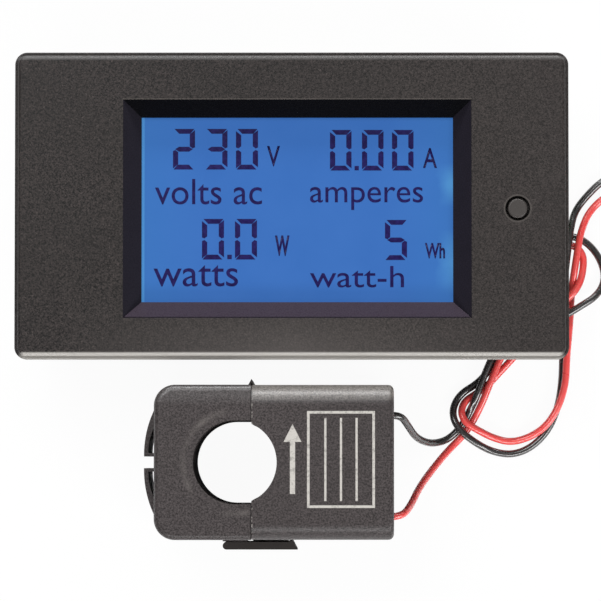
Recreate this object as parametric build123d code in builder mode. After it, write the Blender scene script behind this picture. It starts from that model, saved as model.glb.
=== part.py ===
"""AC power meter for panel mounting, with its split-core current transformer.

The meter lies on its back. The origin is the centre of its rear rest face, +X runs to the
right along the face, +Y up the face and +Z out of the display. All sizes are millimetres.
"""
from build123d import *
from math import hypot, pi, radians, tan
import os

os.makedirs("parts", exist_ok=True)

# Clearances
SLIP = 0.1  # between a piece and the pocket, hole or groove that it sits in
PLAY = 0.15  # between pieces that move against each other
AIR = 0.3  # between parts that only have to miss each other
PAST = 1.0  # how far a cut runs past the face that it opens

# Meter: front face, flange over the panel's cut-out, and depth
FACE_W = 89.9
FACE_H = 49.9
DEPTH = 24.4
FLANGE_OVER_X = 2.65  # how far the flange covers the panel at each end of the cut-out
FLANGE_OVER_Y = 2.6
CUTOUT_PLAY = 0.4  # how much smaller than its cut-out the case is
FLANGE_T = 2.5
FACE_CORNER_R = 2.0
FACE_EDGE_R = 0.65
RAISED_IN = 0.52  # how far the flange stands out round the raised face
RAISED_H = 1.0
FLANGE_EDGE_R = 0.25
WALL = 1.6
PLATE_T = 2.0

# Display window, bevelled down to the glass, and how much of the face is left round it
FRAME_LEFT = 17.6
FRAME_RIGHT = 15.8
FRAME_TOP = 7.75
FRAME_LOW = 6.65
BEVEL_X = 2.9
BEVEL_Y = 2.7
RECESS = 2.8
LIP_T = 0.8  # thickness left at the window's edge
RIM = 1.2  # how far the window's inner frame reaches past the bevel

# Liquid crystal cell and its light
GLASS_T = 1.1
GLASS_OVER_X = 2.95  # how far the glass reaches past the window
GLASS_OVER_TOP = 2.7
GLASS_OVER_LOW = 1.3
LEDGE = 1.4  # contact ledge of the rear glass
GUIDE_T = 2.5
HOLDER_WALL = 1.3
HOLDER_RISE = 2.0
LED_SIZE = (1.3, 3.0, 1.8)
LED_PITCH = 10.0
LED_COUNT = 3
LCD_PIN_COUNT = 24
LCD_PIN_PITCH = 2.0
LCD_PIN_W = 0.5
LCD_PIN_T = 0.3
LCD_PIN_GRIP = 0.9

# Circuit board and its screws
BOARD_T = 1.6
BOARD_GAP_X = 0.6  # between the board and the case's walls
BOARD_GAP_Y = 1.15
BOARD_CORNER_R = 1.0
SCREW_IN_X = 2.7  # from the board's edges to its screws
SCREW_IN_Y = 2.6
BOSS_D = 4.8
BOARD_SCREW_D = 2.0
BOARD_SCREW_L = 4.4  # shank length past the board
BOARD_SCREW_HEAD_D = 3.8
BOARD_SCREW_HEAD_T = 1.4
CROSS_W = 0.5
CROSS_L = 2.0
CROSS_DEEP = 0.7

# Push button and the switch under it
BUTTON_IN = 8.35  # from the face's right edge to the button
BUTTON_Y = -0.5
BUTTON_D = 3.2
BUTTON_GAP = 0.4
BUTTON_FLANGE_D = 5.4
BUTTON_FLANGE_T = 0.8
BUTTON_EDGE_R = 0.3
SWITCH_SIZE = 6.0
SWITCH_H = 3.5
PLUNGER_D = 3.4
PLUNGER_RISE = 0.7
PLUNGER_IN = 0.8
SWITCH_CORNER = 0.4
PRESS = 0.3  # travel of the button

# Rear cover
COVER_T = 1.6
COVER_LIP_T = 1.2
COVER_LIP_H = 1.2
COVER_EDGE_R = 0.5
SNAP_X = 25.0
SNAP_W = 6.0
SNAP_H = 0.5
SNAP_OUT = 0.35

# Open bay at the right end, under the terminals
BAY_ROOM = 3.7  # from the bay's wall to the terminal block
BAY_WALL = 1.4

# Terminal block: rising clamps drawn up by their screws
POLES = 4
POLE_PITCH = 5.08
BLOCK_DEEP = 8.0
BLOCK_H = 10.0
BLOCK_END = 2.55  # from the last pole's centre to the block's end
POLE_X = 4.7  # from the block's inner face to the screws' axis
CLAMP_X = 4.6
CLAMP_Y = 3.7
CLAMP_Z = 4.9
CLAMP_TOP = 1.0
CLAMP_SIDE = 0.6
CLAMP_FLOOR = 0.8
CLAMP_TRAVEL = 1.8
CLAMP_REST = 0.9  # from the board to the clamp when it is open
ENTRY_W = 3.2
ENTRY_H = 3.2
TERMINAL_SCREW_D = 2.5
TERMINAL_HEAD_D = 3.7
TERMINAL_HEAD_T = 1.4
TERMINAL_HEAD_SUNK = 0.4
SLOT_W = 0.6
SLOT_DEEP = 0.7
CONTACT_T = 0.7
CONTACT_W = 1.6
CONTACT_X = 0.8  # from the block's inner face to the pin

# Panel clips: sprung tongues in the long side walls
CLIP_W = 12.0
CLIP_T = 1.1
CLIP_ROOT_Z = 3.9
CLIP_ROOT_R = 0.6
PANEL_MAX = 3.0  # thickest panel, between the flange and the catches
CLIP_RAMP_Z = 8.0
CLIP_LAND = 0.7
CLIP_OUT = 1.35  # how far the catch stands out of the case
CLIP_INSET = 0.2  # how far the tongue lies inside the case's side

# Current transformer: outside, split and hole
CT_RIGHT = 16.5
CT_W = 38.7
CT_H = 25.0
CT_T = 27.0
CT_GAP = 4.15  # from the face's lower edge to the transformer
CT_Y = -FACE_H / 2 - CT_GAP - CT_H / 2
CT_SPLIT = 15.68  # from the left end to the split
CT_SEAM = 0.1
CT_HOLE_R = 6.75
CT_HOLE_X = 13.05  # from the left end to the hole's centre
CT_WALL = 1.2
CT_FACE_WALL = 1.5
CT_LINER = 1.1
CT_BODY_R = 3.0
CT_END_R = 0.9
CT_CAP_CORNER_R = 3.4
CT_CAP_EDGE_R = 1.0

# Core, bobbin and winding
CORE_YOKE = 4.5
CORE_FACE = 5.5  # from the case's face to the core
CORE_PLAY = 0.05  # left between the limbs and the walls' inner faces
CORE_SPRING_GAP = 0.6
BOBBIN_WALL = 0.8
BOBBIN_FLANGE = 0.8
WINDING_BUILD = 2.5
WINDING_CORNER_R = 2.0
SPRING_T = 0.2
SPRING_Z = 8.0
SPRING_LEN = 12.0

# End cover and lead entries
END_T = 1.5
END_REBATE = 0.4
END_CORNER_R = 2.0
LEAD_D = 1.2
LEAD_Z = CT_T / 2
RED_BELOW = 8.9  # from the transformer's middle to each lead
BLACK_ABOVE = 7.7
RED_Y = CT_Y - RED_BELOW
BLACK_Y = CT_Y + BLACK_ABOVE

# Hinge strip between the transformer's halves
STRIP_T = 0.3
STRIP_RISE = 1.0
STRIP_HALF = 0.55
STRIP_Z = 19.0

# Cable tie ears on the transformer's left end
EAR_Z_LOW = 5.0
EAR_Z_TOP = 22.0
EAR_BAND = 0.7
EAR_OUT = 1.75
EAR_GAP = 1.9
EAR_LEN = 7.8
EAR_SLOT_LEN = 4.4
EAR_SLOT_END = 0.55
EAR_BOW = 0.78  # share of the reach that is left halfway along the ear

# Latch of the transformer
LATCH_Z = 10.0
LATCH_T = 1.24
LATCH_GAP = 0.46
LATCH_ROOT = 11.55  # from the left end to the latch's root
LATCH_LEN = 11.6
LATCH_SLANT = 0.75
LATCH_PAD = 3.4
GUIDE_OUT = 0.8  # rib on the body, under the latch
GUIDE_H = 2.0
GUIDE_DROP = 0.8
LATCH_PAD_RISE = 0.36
TOOTH_H = 0.2
TOOTH_LEN = 0.6
RIDGE_H = 0.18
RIDGE_LEN = 0.8
RIDGE_GAP = 0.15

# Stripped and tinned end of a lead
TIP_D = 0.6
TIP_L = 5.0
ARC_SHARE = 0.45  # share of a lead's shorter run that a corner's arc may use

# Heights of the leads' centre lines, on the table and over one another
TABLE_GAP = 0.02
CROSS_GAP = 0.23
TABLE = LEAD_D / 2 + TABLE_GAP
OVER = TABLE + LEAD_D + CROSS_GAP
RED_ROUTE = [
    (CT_RIGHT, RED_Y, LEAD_Z),
    (18.1, RED_Y, LEAD_Z),
    (19.6, -48.9, 11.2),
    (21.6, -45.9, 7.2),
    (24.0, -42.6, 3.6),
    (26.6, -39.4, 1.3),
    (28.9, -37.1, TABLE),
    (30.5, -34.6, TABLE),
    (31.7, -31.8, 1.6),
    (32.9, -28.8, OVER),
    (34.3, -25.4, 2.0),
    (36.3, -21.4, 1.95),
    (39.1, -16.7, 1.0),
    (42.5, -11.5, TABLE),
    (44.7, -7.8, TABLE),
    (46.6, -5.8, TABLE),
    (48.2, -6.3, TABLE),
    (49.0, -8.7, TABLE),
    (48.6, -11.4, 1.8),
    (47.0, -13.5, 2.1),
    (44.8, -15.4, 2.0),
    (42.7, -18.1, TABLE),
    (40.1, -21.3, TABLE),
    (37.5, -24.2, TABLE),
    (35.2, -26.7, TABLE),
    (32.9, -29.0, TABLE),
    (30.4, -30.2, TABLE),
    (28.5, -31.4, 0.9),
    (28.4, -33.6, 2.0),
    (30.4, -35.9, OVER),
    (33.3, -37.5, 1.1),
    (36.6, -38.3, TABLE),
    (39.9, -37.4, 1.0),
    (42.6, -35.5, 1.95),
    (44.6, -32.4, 2.0),
    (45.8, -28.4, 2.0),
    (46.2, -24.6, 2.0),
    (46.6, -20.8, 1.7),
    (47.0, -17.1, TABLE),
    (47.1, -12.8, TABLE),
    (47.4, -9.1, 1.7),
    (47.9, -5.8, 2.0),
    (48.5, -2.6, 2.0),
    (50.0, 0.7, TABLE),
    (53.0, 3.4, TABLE),
    (56.9, 3.9, TABLE),
    (60.4, 2.0, TABLE),
    (62.4, -1.6, TABLE),
    (63.0, -5.6, TABLE),
    (62.4, -9.2, TABLE),
    (60.9, -12.6, TABLE),
    (60.2, -16.2, TABLE),
    (61.4, -19.6, TABLE),
    (64.0, -22.0, TABLE),
]
BLACK_ROUTE = [
    (CT_RIGHT, BLACK_Y, LEAD_Z),
    (18.4, BLACK_Y, LEAD_Z),
    (19.5, -35.2, 11.2),
    (20.6, -37.4, 6.8),
    (23.0, -38.8, 3.0),
    (25.5, -38.3, 1.0),
    (27.4, -36.7, TABLE),
    (28.9, -34.7, TABLE),
    (29.8, -32.9, TABLE),
    (30.7, -31.0, 2.0),
    (31.7, -28.2, OVER),
    (33.2, -24.6, 2.0),
    (35.0, -21.0, 1.5),
    (37.4, -16.4, TABLE),
    (40.4, -11.3, TABLE),
    (43.6, -6.5, TABLE),
    (46.7, -3.7, TABLE),
    (49.6, -5.0, TABLE),
    (52.0, -7.8, TABLE),
    (52.6, -11.2, TABLE),
    (51.0, -13.8, 1.5),
    (48.4, -15.4, 2.1),
    (45.6, -17.1, OVER),
    (42.6, -18.9, OVER),
    (39.7, -20.0, 1.95),
    (37.0, -21.6, TABLE),
    (34.7, -24.1, TABLE),
    (33.0, -26.8, TABLE),
    (30.9, -28.5, TABLE),
    (28.4, -29.6, TABLE),
    (26.9, -31.8, 0.9),
    (27.0, -34.4, 1.9),
    (28.4, -36.6, 2.1),
    (30.6, -38.3, 1.9),
    (33.4, -39.8, TABLE),
    (36.9, -40.4, TABLE),
    (40.2, -39.1, TABLE),
    (43.0, -36.2, TABLE),
    (44.6, -32.4, TABLE),
    (45.3, -28.0, TABLE),
    (45.4, -23.0, TABLE),
    (45.35, -17.6, TABLE),
    (45.6, -12.2, TABLE),
    (45.9, -8.8, 1.8),
    (46.3, -5.4, 2.1),
    (46.5, -2.4, 2.0),
    (47.2, 0.6, TABLE),
    (49.2, 3.3, TABLE),
    (52.4, 6.0, TABLE),
    (56.4, 7.4, TABLE),
    (60.6, 6.8, TABLE),
    (64.2, 4.4, TABLE),
    (66.3, 0.8, TABLE),
    (66.9, -3.1, TABLE),
]

# Places that follow from the sizes above
CASE_W = FACE_W - 2 * FLANGE_OVER_X - CUTOUT_PLAY
CASE_H = FACE_H - 2 * FLANGE_OVER_Y - CUTOUT_PLAY
FLANGE_Z = DEPTH - FLANGE_T
PLATE_Z = DEPTH - PLATE_T
WINDOW_W = FACE_W - FRAME_LEFT - FRAME_RIGHT - 2 * BEVEL_X
WINDOW_H = FACE_H - FRAME_TOP - FRAME_LOW - 2 * BEVEL_Y
WINDOW_X = (FRAME_LEFT - FRAME_RIGHT) / 2
WINDOW_Y = (FRAME_LOW - FRAME_TOP) / 2
GLASS_W = WINDOW_W + 2 * GLASS_OVER_X
GLASS_TOP = WINDOW_H / 2 + GLASS_OVER_TOP
GLASS_LOW = WINDOW_H / 2 + GLASS_OVER_LOW
GLASS_Z = DEPTH - RECESS - LIP_T
REAR_GLASS_Z = GLASS_Z - GLASS_T
GUIDE_Z = REAR_GLASS_Z - GLASS_T
BOARD_Z = GUIDE_Z - GUIDE_T
BOARD_BACK = BOARD_Z - BOARD_T
BLOCK_Z = BOARD_BACK - BLOCK_H
INNER_X = CASE_W / 2 - WALL
INNER_Y = CASE_H / 2 - WALL
BOARD_W = 2 * (INNER_X - BOARD_GAP_X)
BOARD_H = 2 * (INNER_Y - BOARD_GAP_Y)
SCREW_X = BOARD_W / 2 - SCREW_IN_X
SCREW_Y = BOARD_H / 2 - SCREW_IN_Y
BUTTON_X = FACE_W / 2 - BUTTON_IN
BLOCK_X = INNER_X - AIR - BLOCK_DEEP
BAY_X = BLOCK_X - BAY_ROOM
CLIP_TOP_Z = FLANGE_Z - PANEL_MAX
CT_LEFT = CT_RIGHT - CT_W
CT_SPLIT_X = CT_LEFT + CT_SPLIT
CT_HOLE_CX = CT_LEFT + CT_HOLE_X
CT_TOP = CT_Y + CT_H / 2
CT_LOW = CT_Y - CT_H / 2


def save(piece, name):
    """Name a finished piece and write it to its own file."""
    piece.part.label = name
    export_step(piece.part, f"parts/{name}.step")


def box_at(low, high, mode=Mode.ADD):
    """A block between its lowest and highest corners."""
    size = [b - a for a, b in zip(low, high)]
    middle = tuple((a + b) / 2 for a, b in zip(low, high))
    with Locations(middle):
        Box(*size, mode=mode)


def post_at(x, y, low, high, radius, mode=Mode.ADD):
    """An upright round post or hole between two heights."""
    with Locations((x, y, (low + high) / 2)):
        Cylinder(radius, high - low, mode=mode)


# Meter case

with BuildPart() as front_housing:
    with BuildSketch(Plane.XY.offset(FLANGE_Z)):
        RectangleRounded(FACE_W, FACE_H, FACE_CORNER_R)
    extrude(amount=FLANGE_T - RAISED_H)
    fillet(front_housing.faces().sort_by(Axis.Z)[-1].edges(), FLANGE_EDGE_R)
    with BuildSketch(Plane.XY.offset(DEPTH - RAISED_H)):
        RectangleRounded(FACE_W - 2 * RAISED_IN, FACE_H - 2 * RAISED_IN, FACE_CORNER_R - RAISED_IN)
    extrude(amount=RAISED_H)
    fillet(front_housing.faces().sort_by(Axis.Z)[-1].edges(), FACE_EDGE_R)
    with BuildSketch(Plane.XY.offset(COVER_T)):
        RectangleRounded(CASE_W, CASE_H, FACE_CORNER_R / 2)
    extrude(amount=FLANGE_Z - COVER_T)
    box_at((-INNER_X, -INNER_Y, COVER_T), (INNER_X, INNER_Y, PLATE_Z), Mode.SUBTRACT)
    # inner frame round the window, bosses for the board and the button's guide
    rim_w = WINDOW_W / 2 + BEVEL_X + RIM
    rim_h = WINDOW_H / 2 + BEVEL_Y + RIM
    box_at(
        (WINDOW_X - rim_w, WINDOW_Y - rim_h, GLASS_Z),
        (WINDOW_X + rim_w, WINDOW_Y + rim_h, PLATE_Z),
    )
    for x in (-SCREW_X, SCREW_X):
        for y in (-SCREW_Y, SCREW_Y):
            post_at(x, y, BOARD_Z, PLATE_Z, BOSS_D / 2)
            post_at(
                x, y, BOARD_Z, BOARD_Z + BOARD_SCREW_L + AIR, BOARD_SCREW_D / 2 + SLIP / 2, Mode.SUBTRACT
            )
    # bevelled window
    with BuildSketch(Plane.XY.offset(DEPTH)):
        with Locations((WINDOW_X, WINDOW_Y)):
            Rectangle(WINDOW_W + 2 * BEVEL_X, WINDOW_H + 2 * BEVEL_Y)
    with BuildSketch(Plane.XY.offset(DEPTH - RECESS)):
        with Locations((WINDOW_X, WINDOW_Y)):
            Rectangle(WINDOW_W, WINDOW_H)
    loft(mode=Mode.SUBTRACT)
    box_at(
        (WINDOW_X - WINDOW_W / 2, WINDOW_Y - WINDOW_H / 2, GLASS_Z),
        (WINDOW_X + WINDOW_W / 2, WINDOW_Y + WINDOW_H / 2, DEPTH - RECESS),
        Mode.SUBTRACT,
    )
    post_at(BUTTON_X, BUTTON_Y, PLATE_Z, DEPTH, BUTTON_D / 2 + BUTTON_GAP, Mode.SUBTRACT)
    # bay: the side walls stop at the terminal block, and the end wall leaves its entries open
    box_at((BAY_X, -CASE_H, 0), (CASE_W, CASE_H, BLOCK_Z), Mode.SUBTRACT)
    block_half = (POLES - 1) * POLE_PITCH / 2 + BLOCK_END
    box_at(
        (INNER_X - SLIP, -block_half - AIR, 0),
        (CASE_W, block_half + AIR, BOARD_BACK - CLAMP_REST + AIR),
        Mode.SUBTRACT,
    )
    # windows for the panel clips and recesses for the cover's snaps
    for side in (-1, 1):
        box_at(
            (-CLIP_W / 2 - AIR, min(side * (INNER_Y - PAST), side * CASE_H), CLIP_ROOT_Z),
            (CLIP_W / 2 + AIR, max(side * (INNER_Y - PAST), side * CASE_H), CLIP_TOP_Z + AIR),
            Mode.SUBTRACT,
        )
        clip_root_y = side * (CASE_H / 2 - CLIP_INSET - CLIP_T / 2)
        with Locations((0, clip_root_y, CLIP_ROOT_Z)):
            Cylinder(CLIP_ROOT_R + SLIP, CLIP_W + 2 * AIR, rotation=(0, 90, 0), mode=Mode.SUBTRACT)
        for x in (-SNAP_X, SNAP_X - SNAP_W):
            with Locations((x, side * INNER_Y, COVER_T + COVER_LIP_H - SNAP_H / 2 - SLIP)):
                Box(SNAP_W + 2 * SLIP, 2 * SNAP_OUT, SNAP_H + 2 * SLIP, mode=Mode.SUBTRACT)
save(front_housing, "front_housing")

with BuildPart() as rear_cover:
    with BuildSketch(Plane.XY):
        with Locations(((BAY_X - CASE_W / 2) / 2, 0)):
            RectangleRounded(BAY_X + CASE_W / 2, CASE_H, FACE_CORNER_R / 2)
    extrude(amount=COVER_T)
    fillet(rear_cover.faces().sort_by(Axis.Z)[0].edges(), COVER_EDGE_R)
    lip_x = INNER_X - SLIP
    lip_y = INNER_Y - SLIP
    box_at((-lip_x, -lip_y, COVER_T), (BAY_X - BAY_WALL, lip_y, COVER_T + COVER_LIP_H))
    box_at(
        (-lip_x + COVER_LIP_T, -lip_y + COVER_LIP_T, COVER_T),
        (BAY_X - BAY_WALL, lip_y - COVER_LIP_T, COVER_T + COVER_LIP_H),
        Mode.SUBTRACT,
    )
    # wall between the closed room and the terminal bay
    box_at((BAY_X - BAY_WALL, -lip_y, COVER_T), (BAY_X, lip_y, BOARD_BACK - AIR))
    for side in (-1, 1):
        for x in (-SNAP_X, SNAP_X - SNAP_W):
            with Locations((x, side * lip_y, COVER_T + COVER_LIP_H - SNAP_H / 2 - SLIP)):
                Box(SNAP_W, 2 * (SNAP_OUT - SLIP / 2), SNAP_H)
save(rear_cover, "rear_cover")

clip_outer = CASE_H / 2 - CLIP_INSET
clip_inner = clip_outer - CLIP_T
for side, name in ((1, "panel_clip_upper"), (-1, "panel_clip_lower")):
    with BuildPart() as panel_clip:
        with BuildSketch(Plane.YZ):
            with BuildLine():
                Polyline(
                    (clip_inner, CLIP_ROOT_Z),
                    (clip_inner, CLIP_TOP_Z),
                    (CASE_H / 2 + CLIP_OUT, CLIP_TOP_Z),
                    (CASE_H / 2 + CLIP_OUT, CLIP_TOP_Z - CLIP_LAND),
                    (clip_outer, CLIP_RAMP_Z),
                    (clip_outer, CLIP_ROOT_Z),
                    close=True,
                )
            make_face()
            with Locations(((clip_inner + clip_outer) / 2, CLIP_ROOT_Z)):
                Circle(CLIP_ROOT_R)
        extrude(amount=CLIP_W / 2, both=True)
        if side < 0:
            mirror(about=Plane.XZ, mode=Mode.REPLACE)
    save(panel_clip, name)

# Push button

with BuildPart() as button_cap:
    cap_low = BOARD_Z + SWITCH_H + PLUNGER_RISE
    post_at(BUTTON_X, BUTTON_Y, cap_low, DEPTH, BUTTON_D / 2)
    post_at(BUTTON_X, BUTTON_Y, PLATE_Z - PLAY - BUTTON_FLANGE_T, PLATE_Z - PLAY, BUTTON_FLANGE_D / 2)
    fillet(button_cap.faces().sort_by(Axis.Z)[-1].edges(), BUTTON_EDGE_R)
save(button_cap, "button_cap")

with BuildPart() as switch_plunger:
    switch_top = BOARD_Z + SWITCH_H
    post_at(BUTTON_X, BUTTON_Y, switch_top - PLUNGER_IN, switch_top + PLUNGER_RISE, PLUNGER_D / 2)
save(switch_plunger, "switch_plunger")

with BuildPart() as key_switch_body:
    half = SWITCH_SIZE / 2
    box_at(
        (BUTTON_X - half, BUTTON_Y - half, BOARD_Z),
        (BUTTON_X + half, BUTTON_Y + half, BOARD_Z + SWITCH_H),
    )
    chamfer(key_switch_body.edges().filter_by(Axis.Z), SWITCH_CORNER)
    well_low = BOARD_Z + SWITCH_H - PLUNGER_IN - PRESS - AIR
    post_at(BUTTON_X, BUTTON_Y, well_low, BOARD_Z + SWITCH_H, PLUNGER_D / 2 + SLIP, Mode.SUBTRACT)
save(key_switch_body, "key_switch_body")

# Display

with BuildPart() as lcd_front_glass:
    box_at(
        (WINDOW_X - GLASS_W / 2, WINDOW_Y - GLASS_LOW, REAR_GLASS_Z),
        (WINDOW_X + GLASS_W / 2, WINDOW_Y + GLASS_TOP, GLASS_Z),
    )
save(lcd_front_glass, "lcd_front_glass")

with BuildPart() as lcd_rear_glass:
    box_at(
        (WINDOW_X - GLASS_W / 2, WINDOW_Y - GLASS_LOW - LEDGE, GUIDE_Z),
        (WINDOW_X + GLASS_W / 2, WINDOW_Y + GLASS_TOP, REAR_GLASS_Z),
    )
save(lcd_rear_glass, "lcd_rear_glass")

glass_edge = WINDOW_Y - GLASS_LOW - LEDGE
pin_xs = [WINDOW_X + (i - (LCD_PIN_COUNT - 1) / 2) * LCD_PIN_PITCH for i in range(LCD_PIN_COUNT)]
with BuildPart() as lcd_pins:
    with BuildSketch(*[Plane.YZ.offset(x - LCD_PIN_W / 2) for x in pin_xs]):
        with BuildLine():
            Polyline(
                (glass_edge - LCD_PIN_T, BOARD_BACK - AIR),
                (glass_edge - LCD_PIN_T, REAR_GLASS_Z + LCD_PIN_T),
                (glass_edge + LCD_PIN_GRIP, REAR_GLASS_Z + LCD_PIN_T),
                (glass_edge + LCD_PIN_GRIP, REAR_GLASS_Z),
                (glass_edge, REAR_GLASS_Z),
                (glass_edge, BOARD_BACK - AIR),
                close=True,
            )
        make_face()
    extrude(amount=LCD_PIN_W)
save(lcd_pins, "lcd_pins")

holder_x = GLASS_W / 2 + SLIP
holder_low = WINDOW_Y - GLASS_LOW - LEDGE + SLIP
holder_top = WINDOW_Y + GLASS_TOP + SLIP
light_x = (WINDOW_X - holder_x + SLIP, WINDOW_X + holder_x - HOLDER_WALL)
light_y = (holder_low + HOLDER_WALL, holder_top - HOLDER_WALL)
with BuildPart() as display_holder:
    box_at(
        (WINDOW_X - holder_x - HOLDER_WALL, holder_low, BOARD_Z),
        (WINDOW_X + holder_x + HOLDER_WALL, holder_top + HOLDER_WALL, GUIDE_Z + HOLDER_RISE),
    )
    # room for the glass, open towards its contact ledge
    box_at(
        (WINDOW_X - holder_x, holder_low - PAST, GUIDE_Z),
        (WINDOW_X + holder_x, holder_top, GUIDE_Z + HOLDER_RISE),
        Mode.SUBTRACT,
    )
    box_at((light_x[0], light_y[0], BOARD_Z), (light_x[1], light_y[1], GUIDE_Z), Mode.SUBTRACT)
save(display_holder, "display_holder")

guide_left = light_x[0] + LED_SIZE[0] + 2 * SLIP
with BuildPart() as backlight_guide:
    box_at(
        (guide_left, light_y[0] + SLIP, BOARD_Z),
        (light_x[1] - SLIP, light_y[1] - SLIP, GUIDE_Z),
    )
save(backlight_guide, "backlight_guide")

with BuildPart() as backlight_leds:
    led_x = light_x[0] + SLIP + LED_SIZE[0] / 2
    with Locations((led_x, sum(light_y) / 2, BOARD_Z + LED_SIZE[2] / 2)):
        with GridLocations(LED_PITCH, LED_PITCH, 1, LED_COUNT):
            Box(*LED_SIZE)
save(backlight_leds, "backlight_leds")

# Circuit board

pole_ys = [(i - (POLES - 1) / 2) * POLE_PITCH for i in range(POLES)]
contact_x = BLOCK_X + CONTACT_X + CONTACT_T / 2
with BuildPart() as main_board:
    with BuildSketch(Plane.XY.offset(BOARD_BACK)):
        RectangleRounded(BOARD_W, BOARD_H, BOARD_CORNER_R)
        with GridLocations(2 * SCREW_X, 2 * SCREW_Y, 2, 2):
            Circle(BOARD_SCREW_D / 2 + PLAY, mode=Mode.SUBTRACT)
        with Locations(*[(contact_x, y) for y in pole_ys]):
            Circle(hypot(CONTACT_T, CONTACT_W) / 2 + SLIP, mode=Mode.SUBTRACT)
        with Locations(*[(x, glass_edge - LCD_PIN_T / 2) for x in pin_xs]):
            Circle(hypot(LCD_PIN_W, LCD_PIN_T) / 2 + SLIP, mode=Mode.SUBTRACT)
    extrude(amount=BOARD_T)
save(main_board, "main_board")

with BuildPart() as board_screws:
    for x in (-SCREW_X, SCREW_X):
        for y in (-SCREW_Y, SCREW_Y):
            head_low = BOARD_BACK - BOARD_SCREW_HEAD_T
            post_at(x, y, head_low, BOARD_BACK, BOARD_SCREW_HEAD_D / 2)
            post_at(x, y, BOARD_BACK, BOARD_Z + BOARD_SCREW_L, BOARD_SCREW_D / 2)
            with Locations((x, y, head_low + CROSS_DEEP / 2)):
                Box(CROSS_L, CROSS_W, CROSS_DEEP, mode=Mode.SUBTRACT)
                Box(CROSS_W, CROSS_L, CROSS_DEEP, mode=Mode.SUBTRACT)
save(board_screws, "board_screws")

# Terminal block

pole_x = BLOCK_X + POLE_X
clamp_low = BOARD_BACK - CLAMP_REST - CLAMP_Z
contact_z = clamp_low + CLAMP_TOP + SLIP
head_high = BLOCK_Z + TERMINAL_HEAD_SUNK + TERMINAL_HEAD_T
clamp_room_low = clamp_low - CLAMP_TRAVEL - SLIP
entry_z = BOARD_BACK - CLAMP_REST - CLAMP_FLOOR - ENTRY_H / 2 + SLIP
with BuildPart() as terminal_block:
    box_at((BLOCK_X, -block_half, BLOCK_Z), (BLOCK_X + BLOCK_DEEP, block_half, BOARD_BACK))
    for y in pole_ys:
        post_at(pole_x, y, BLOCK_Z, clamp_room_low, TERMINAL_HEAD_D / 2 + PLAY, Mode.SUBTRACT)
        box_at(
            (pole_x - CLAMP_X / 2 - PLAY, y - CLAMP_Y / 2 - SLIP, clamp_room_low),
            (pole_x + CLAMP_X / 2 + PLAY, y + CLAMP_Y / 2 + SLIP, BOARD_BACK - CLAMP_REST + SLIP),
            Mode.SUBTRACT,
        )
        box_at(
            (pole_x, y - ENTRY_W / 2, entry_z - ENTRY_H / 2),
            (BLOCK_X + BLOCK_DEEP, y + ENTRY_W / 2, entry_z + ENTRY_H / 2),
            Mode.SUBTRACT,
        )
        # channel for the contact and its pin
        half = CONTACT_W / 2 + SLIP
        box_at(
            (BLOCK_X + CONTACT_X - SLIP, y - half, contact_z - SLIP),
            (pole_x, y + half, contact_z + CONTACT_T + SLIP),
            Mode.SUBTRACT,
        )
        box_at(
            (BLOCK_X + CONTACT_X - SLIP, y - half, contact_z),
            (BLOCK_X + CONTACT_X + CONTACT_T + SLIP, y + half, BOARD_BACK),
            Mode.SUBTRACT,
        )
save(terminal_block, "terminal_block")

with BuildPart() as terminal_contacts:
    for y in pole_ys:
        box_at(
            (BLOCK_X + CONTACT_X, y - CONTACT_W / 2, contact_z),
            (pole_x + CLAMP_X / 2 - SLIP, y + CONTACT_W / 2, contact_z + CONTACT_T),
        )
        box_at(
            (BLOCK_X + CONTACT_X, y - CONTACT_W / 2, contact_z),
            (BLOCK_X + CONTACT_X + CONTACT_T, y + CONTACT_W / 2, BOARD_Z - SLIP),
        )
save(terminal_contacts, "terminal_contacts")

for number, y in enumerate(pole_ys, start=1):
    with BuildPart() as terminal_screw:
        head_low = BLOCK_Z + TERMINAL_HEAD_SUNK
        post_at(pole_x, y, head_low, head_high, TERMINAL_HEAD_D / 2)
        post_at(pole_x, y, head_high, clamp_low + CLAMP_TOP, TERMINAL_SCREW_D / 2)
        with Locations((pole_x, y, head_low + SLOT_DEEP / 2)):
            Box(TERMINAL_HEAD_D, SLOT_W, SLOT_DEEP, mode=Mode.SUBTRACT)
    save(terminal_screw, f"terminal_screw_{number}")

    with BuildPart() as terminal_clamp:
        box_at(
            (pole_x - CLAMP_X / 2, y - CLAMP_Y / 2, clamp_low),
            (pole_x + CLAMP_X / 2, y + CLAMP_Y / 2, clamp_low + CLAMP_Z),
        )
        box_at(
            (pole_x - CLAMP_X, y - CLAMP_Y / 2 + CLAMP_SIDE, clamp_low + CLAMP_TOP),
            (pole_x + CLAMP_X, y + CLAMP_Y / 2 - CLAMP_SIDE, clamp_low + CLAMP_Z - CLAMP_FLOOR),
            Mode.SUBTRACT,
        )
        hole_high = clamp_low + CLAMP_TOP
        post_at(pole_x, y, clamp_low, hole_high, TERMINAL_SCREW_D / 2 + SLIP, Mode.SUBTRACT)
    save(terminal_clamp, f"terminal_clamp_{number}")

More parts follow.
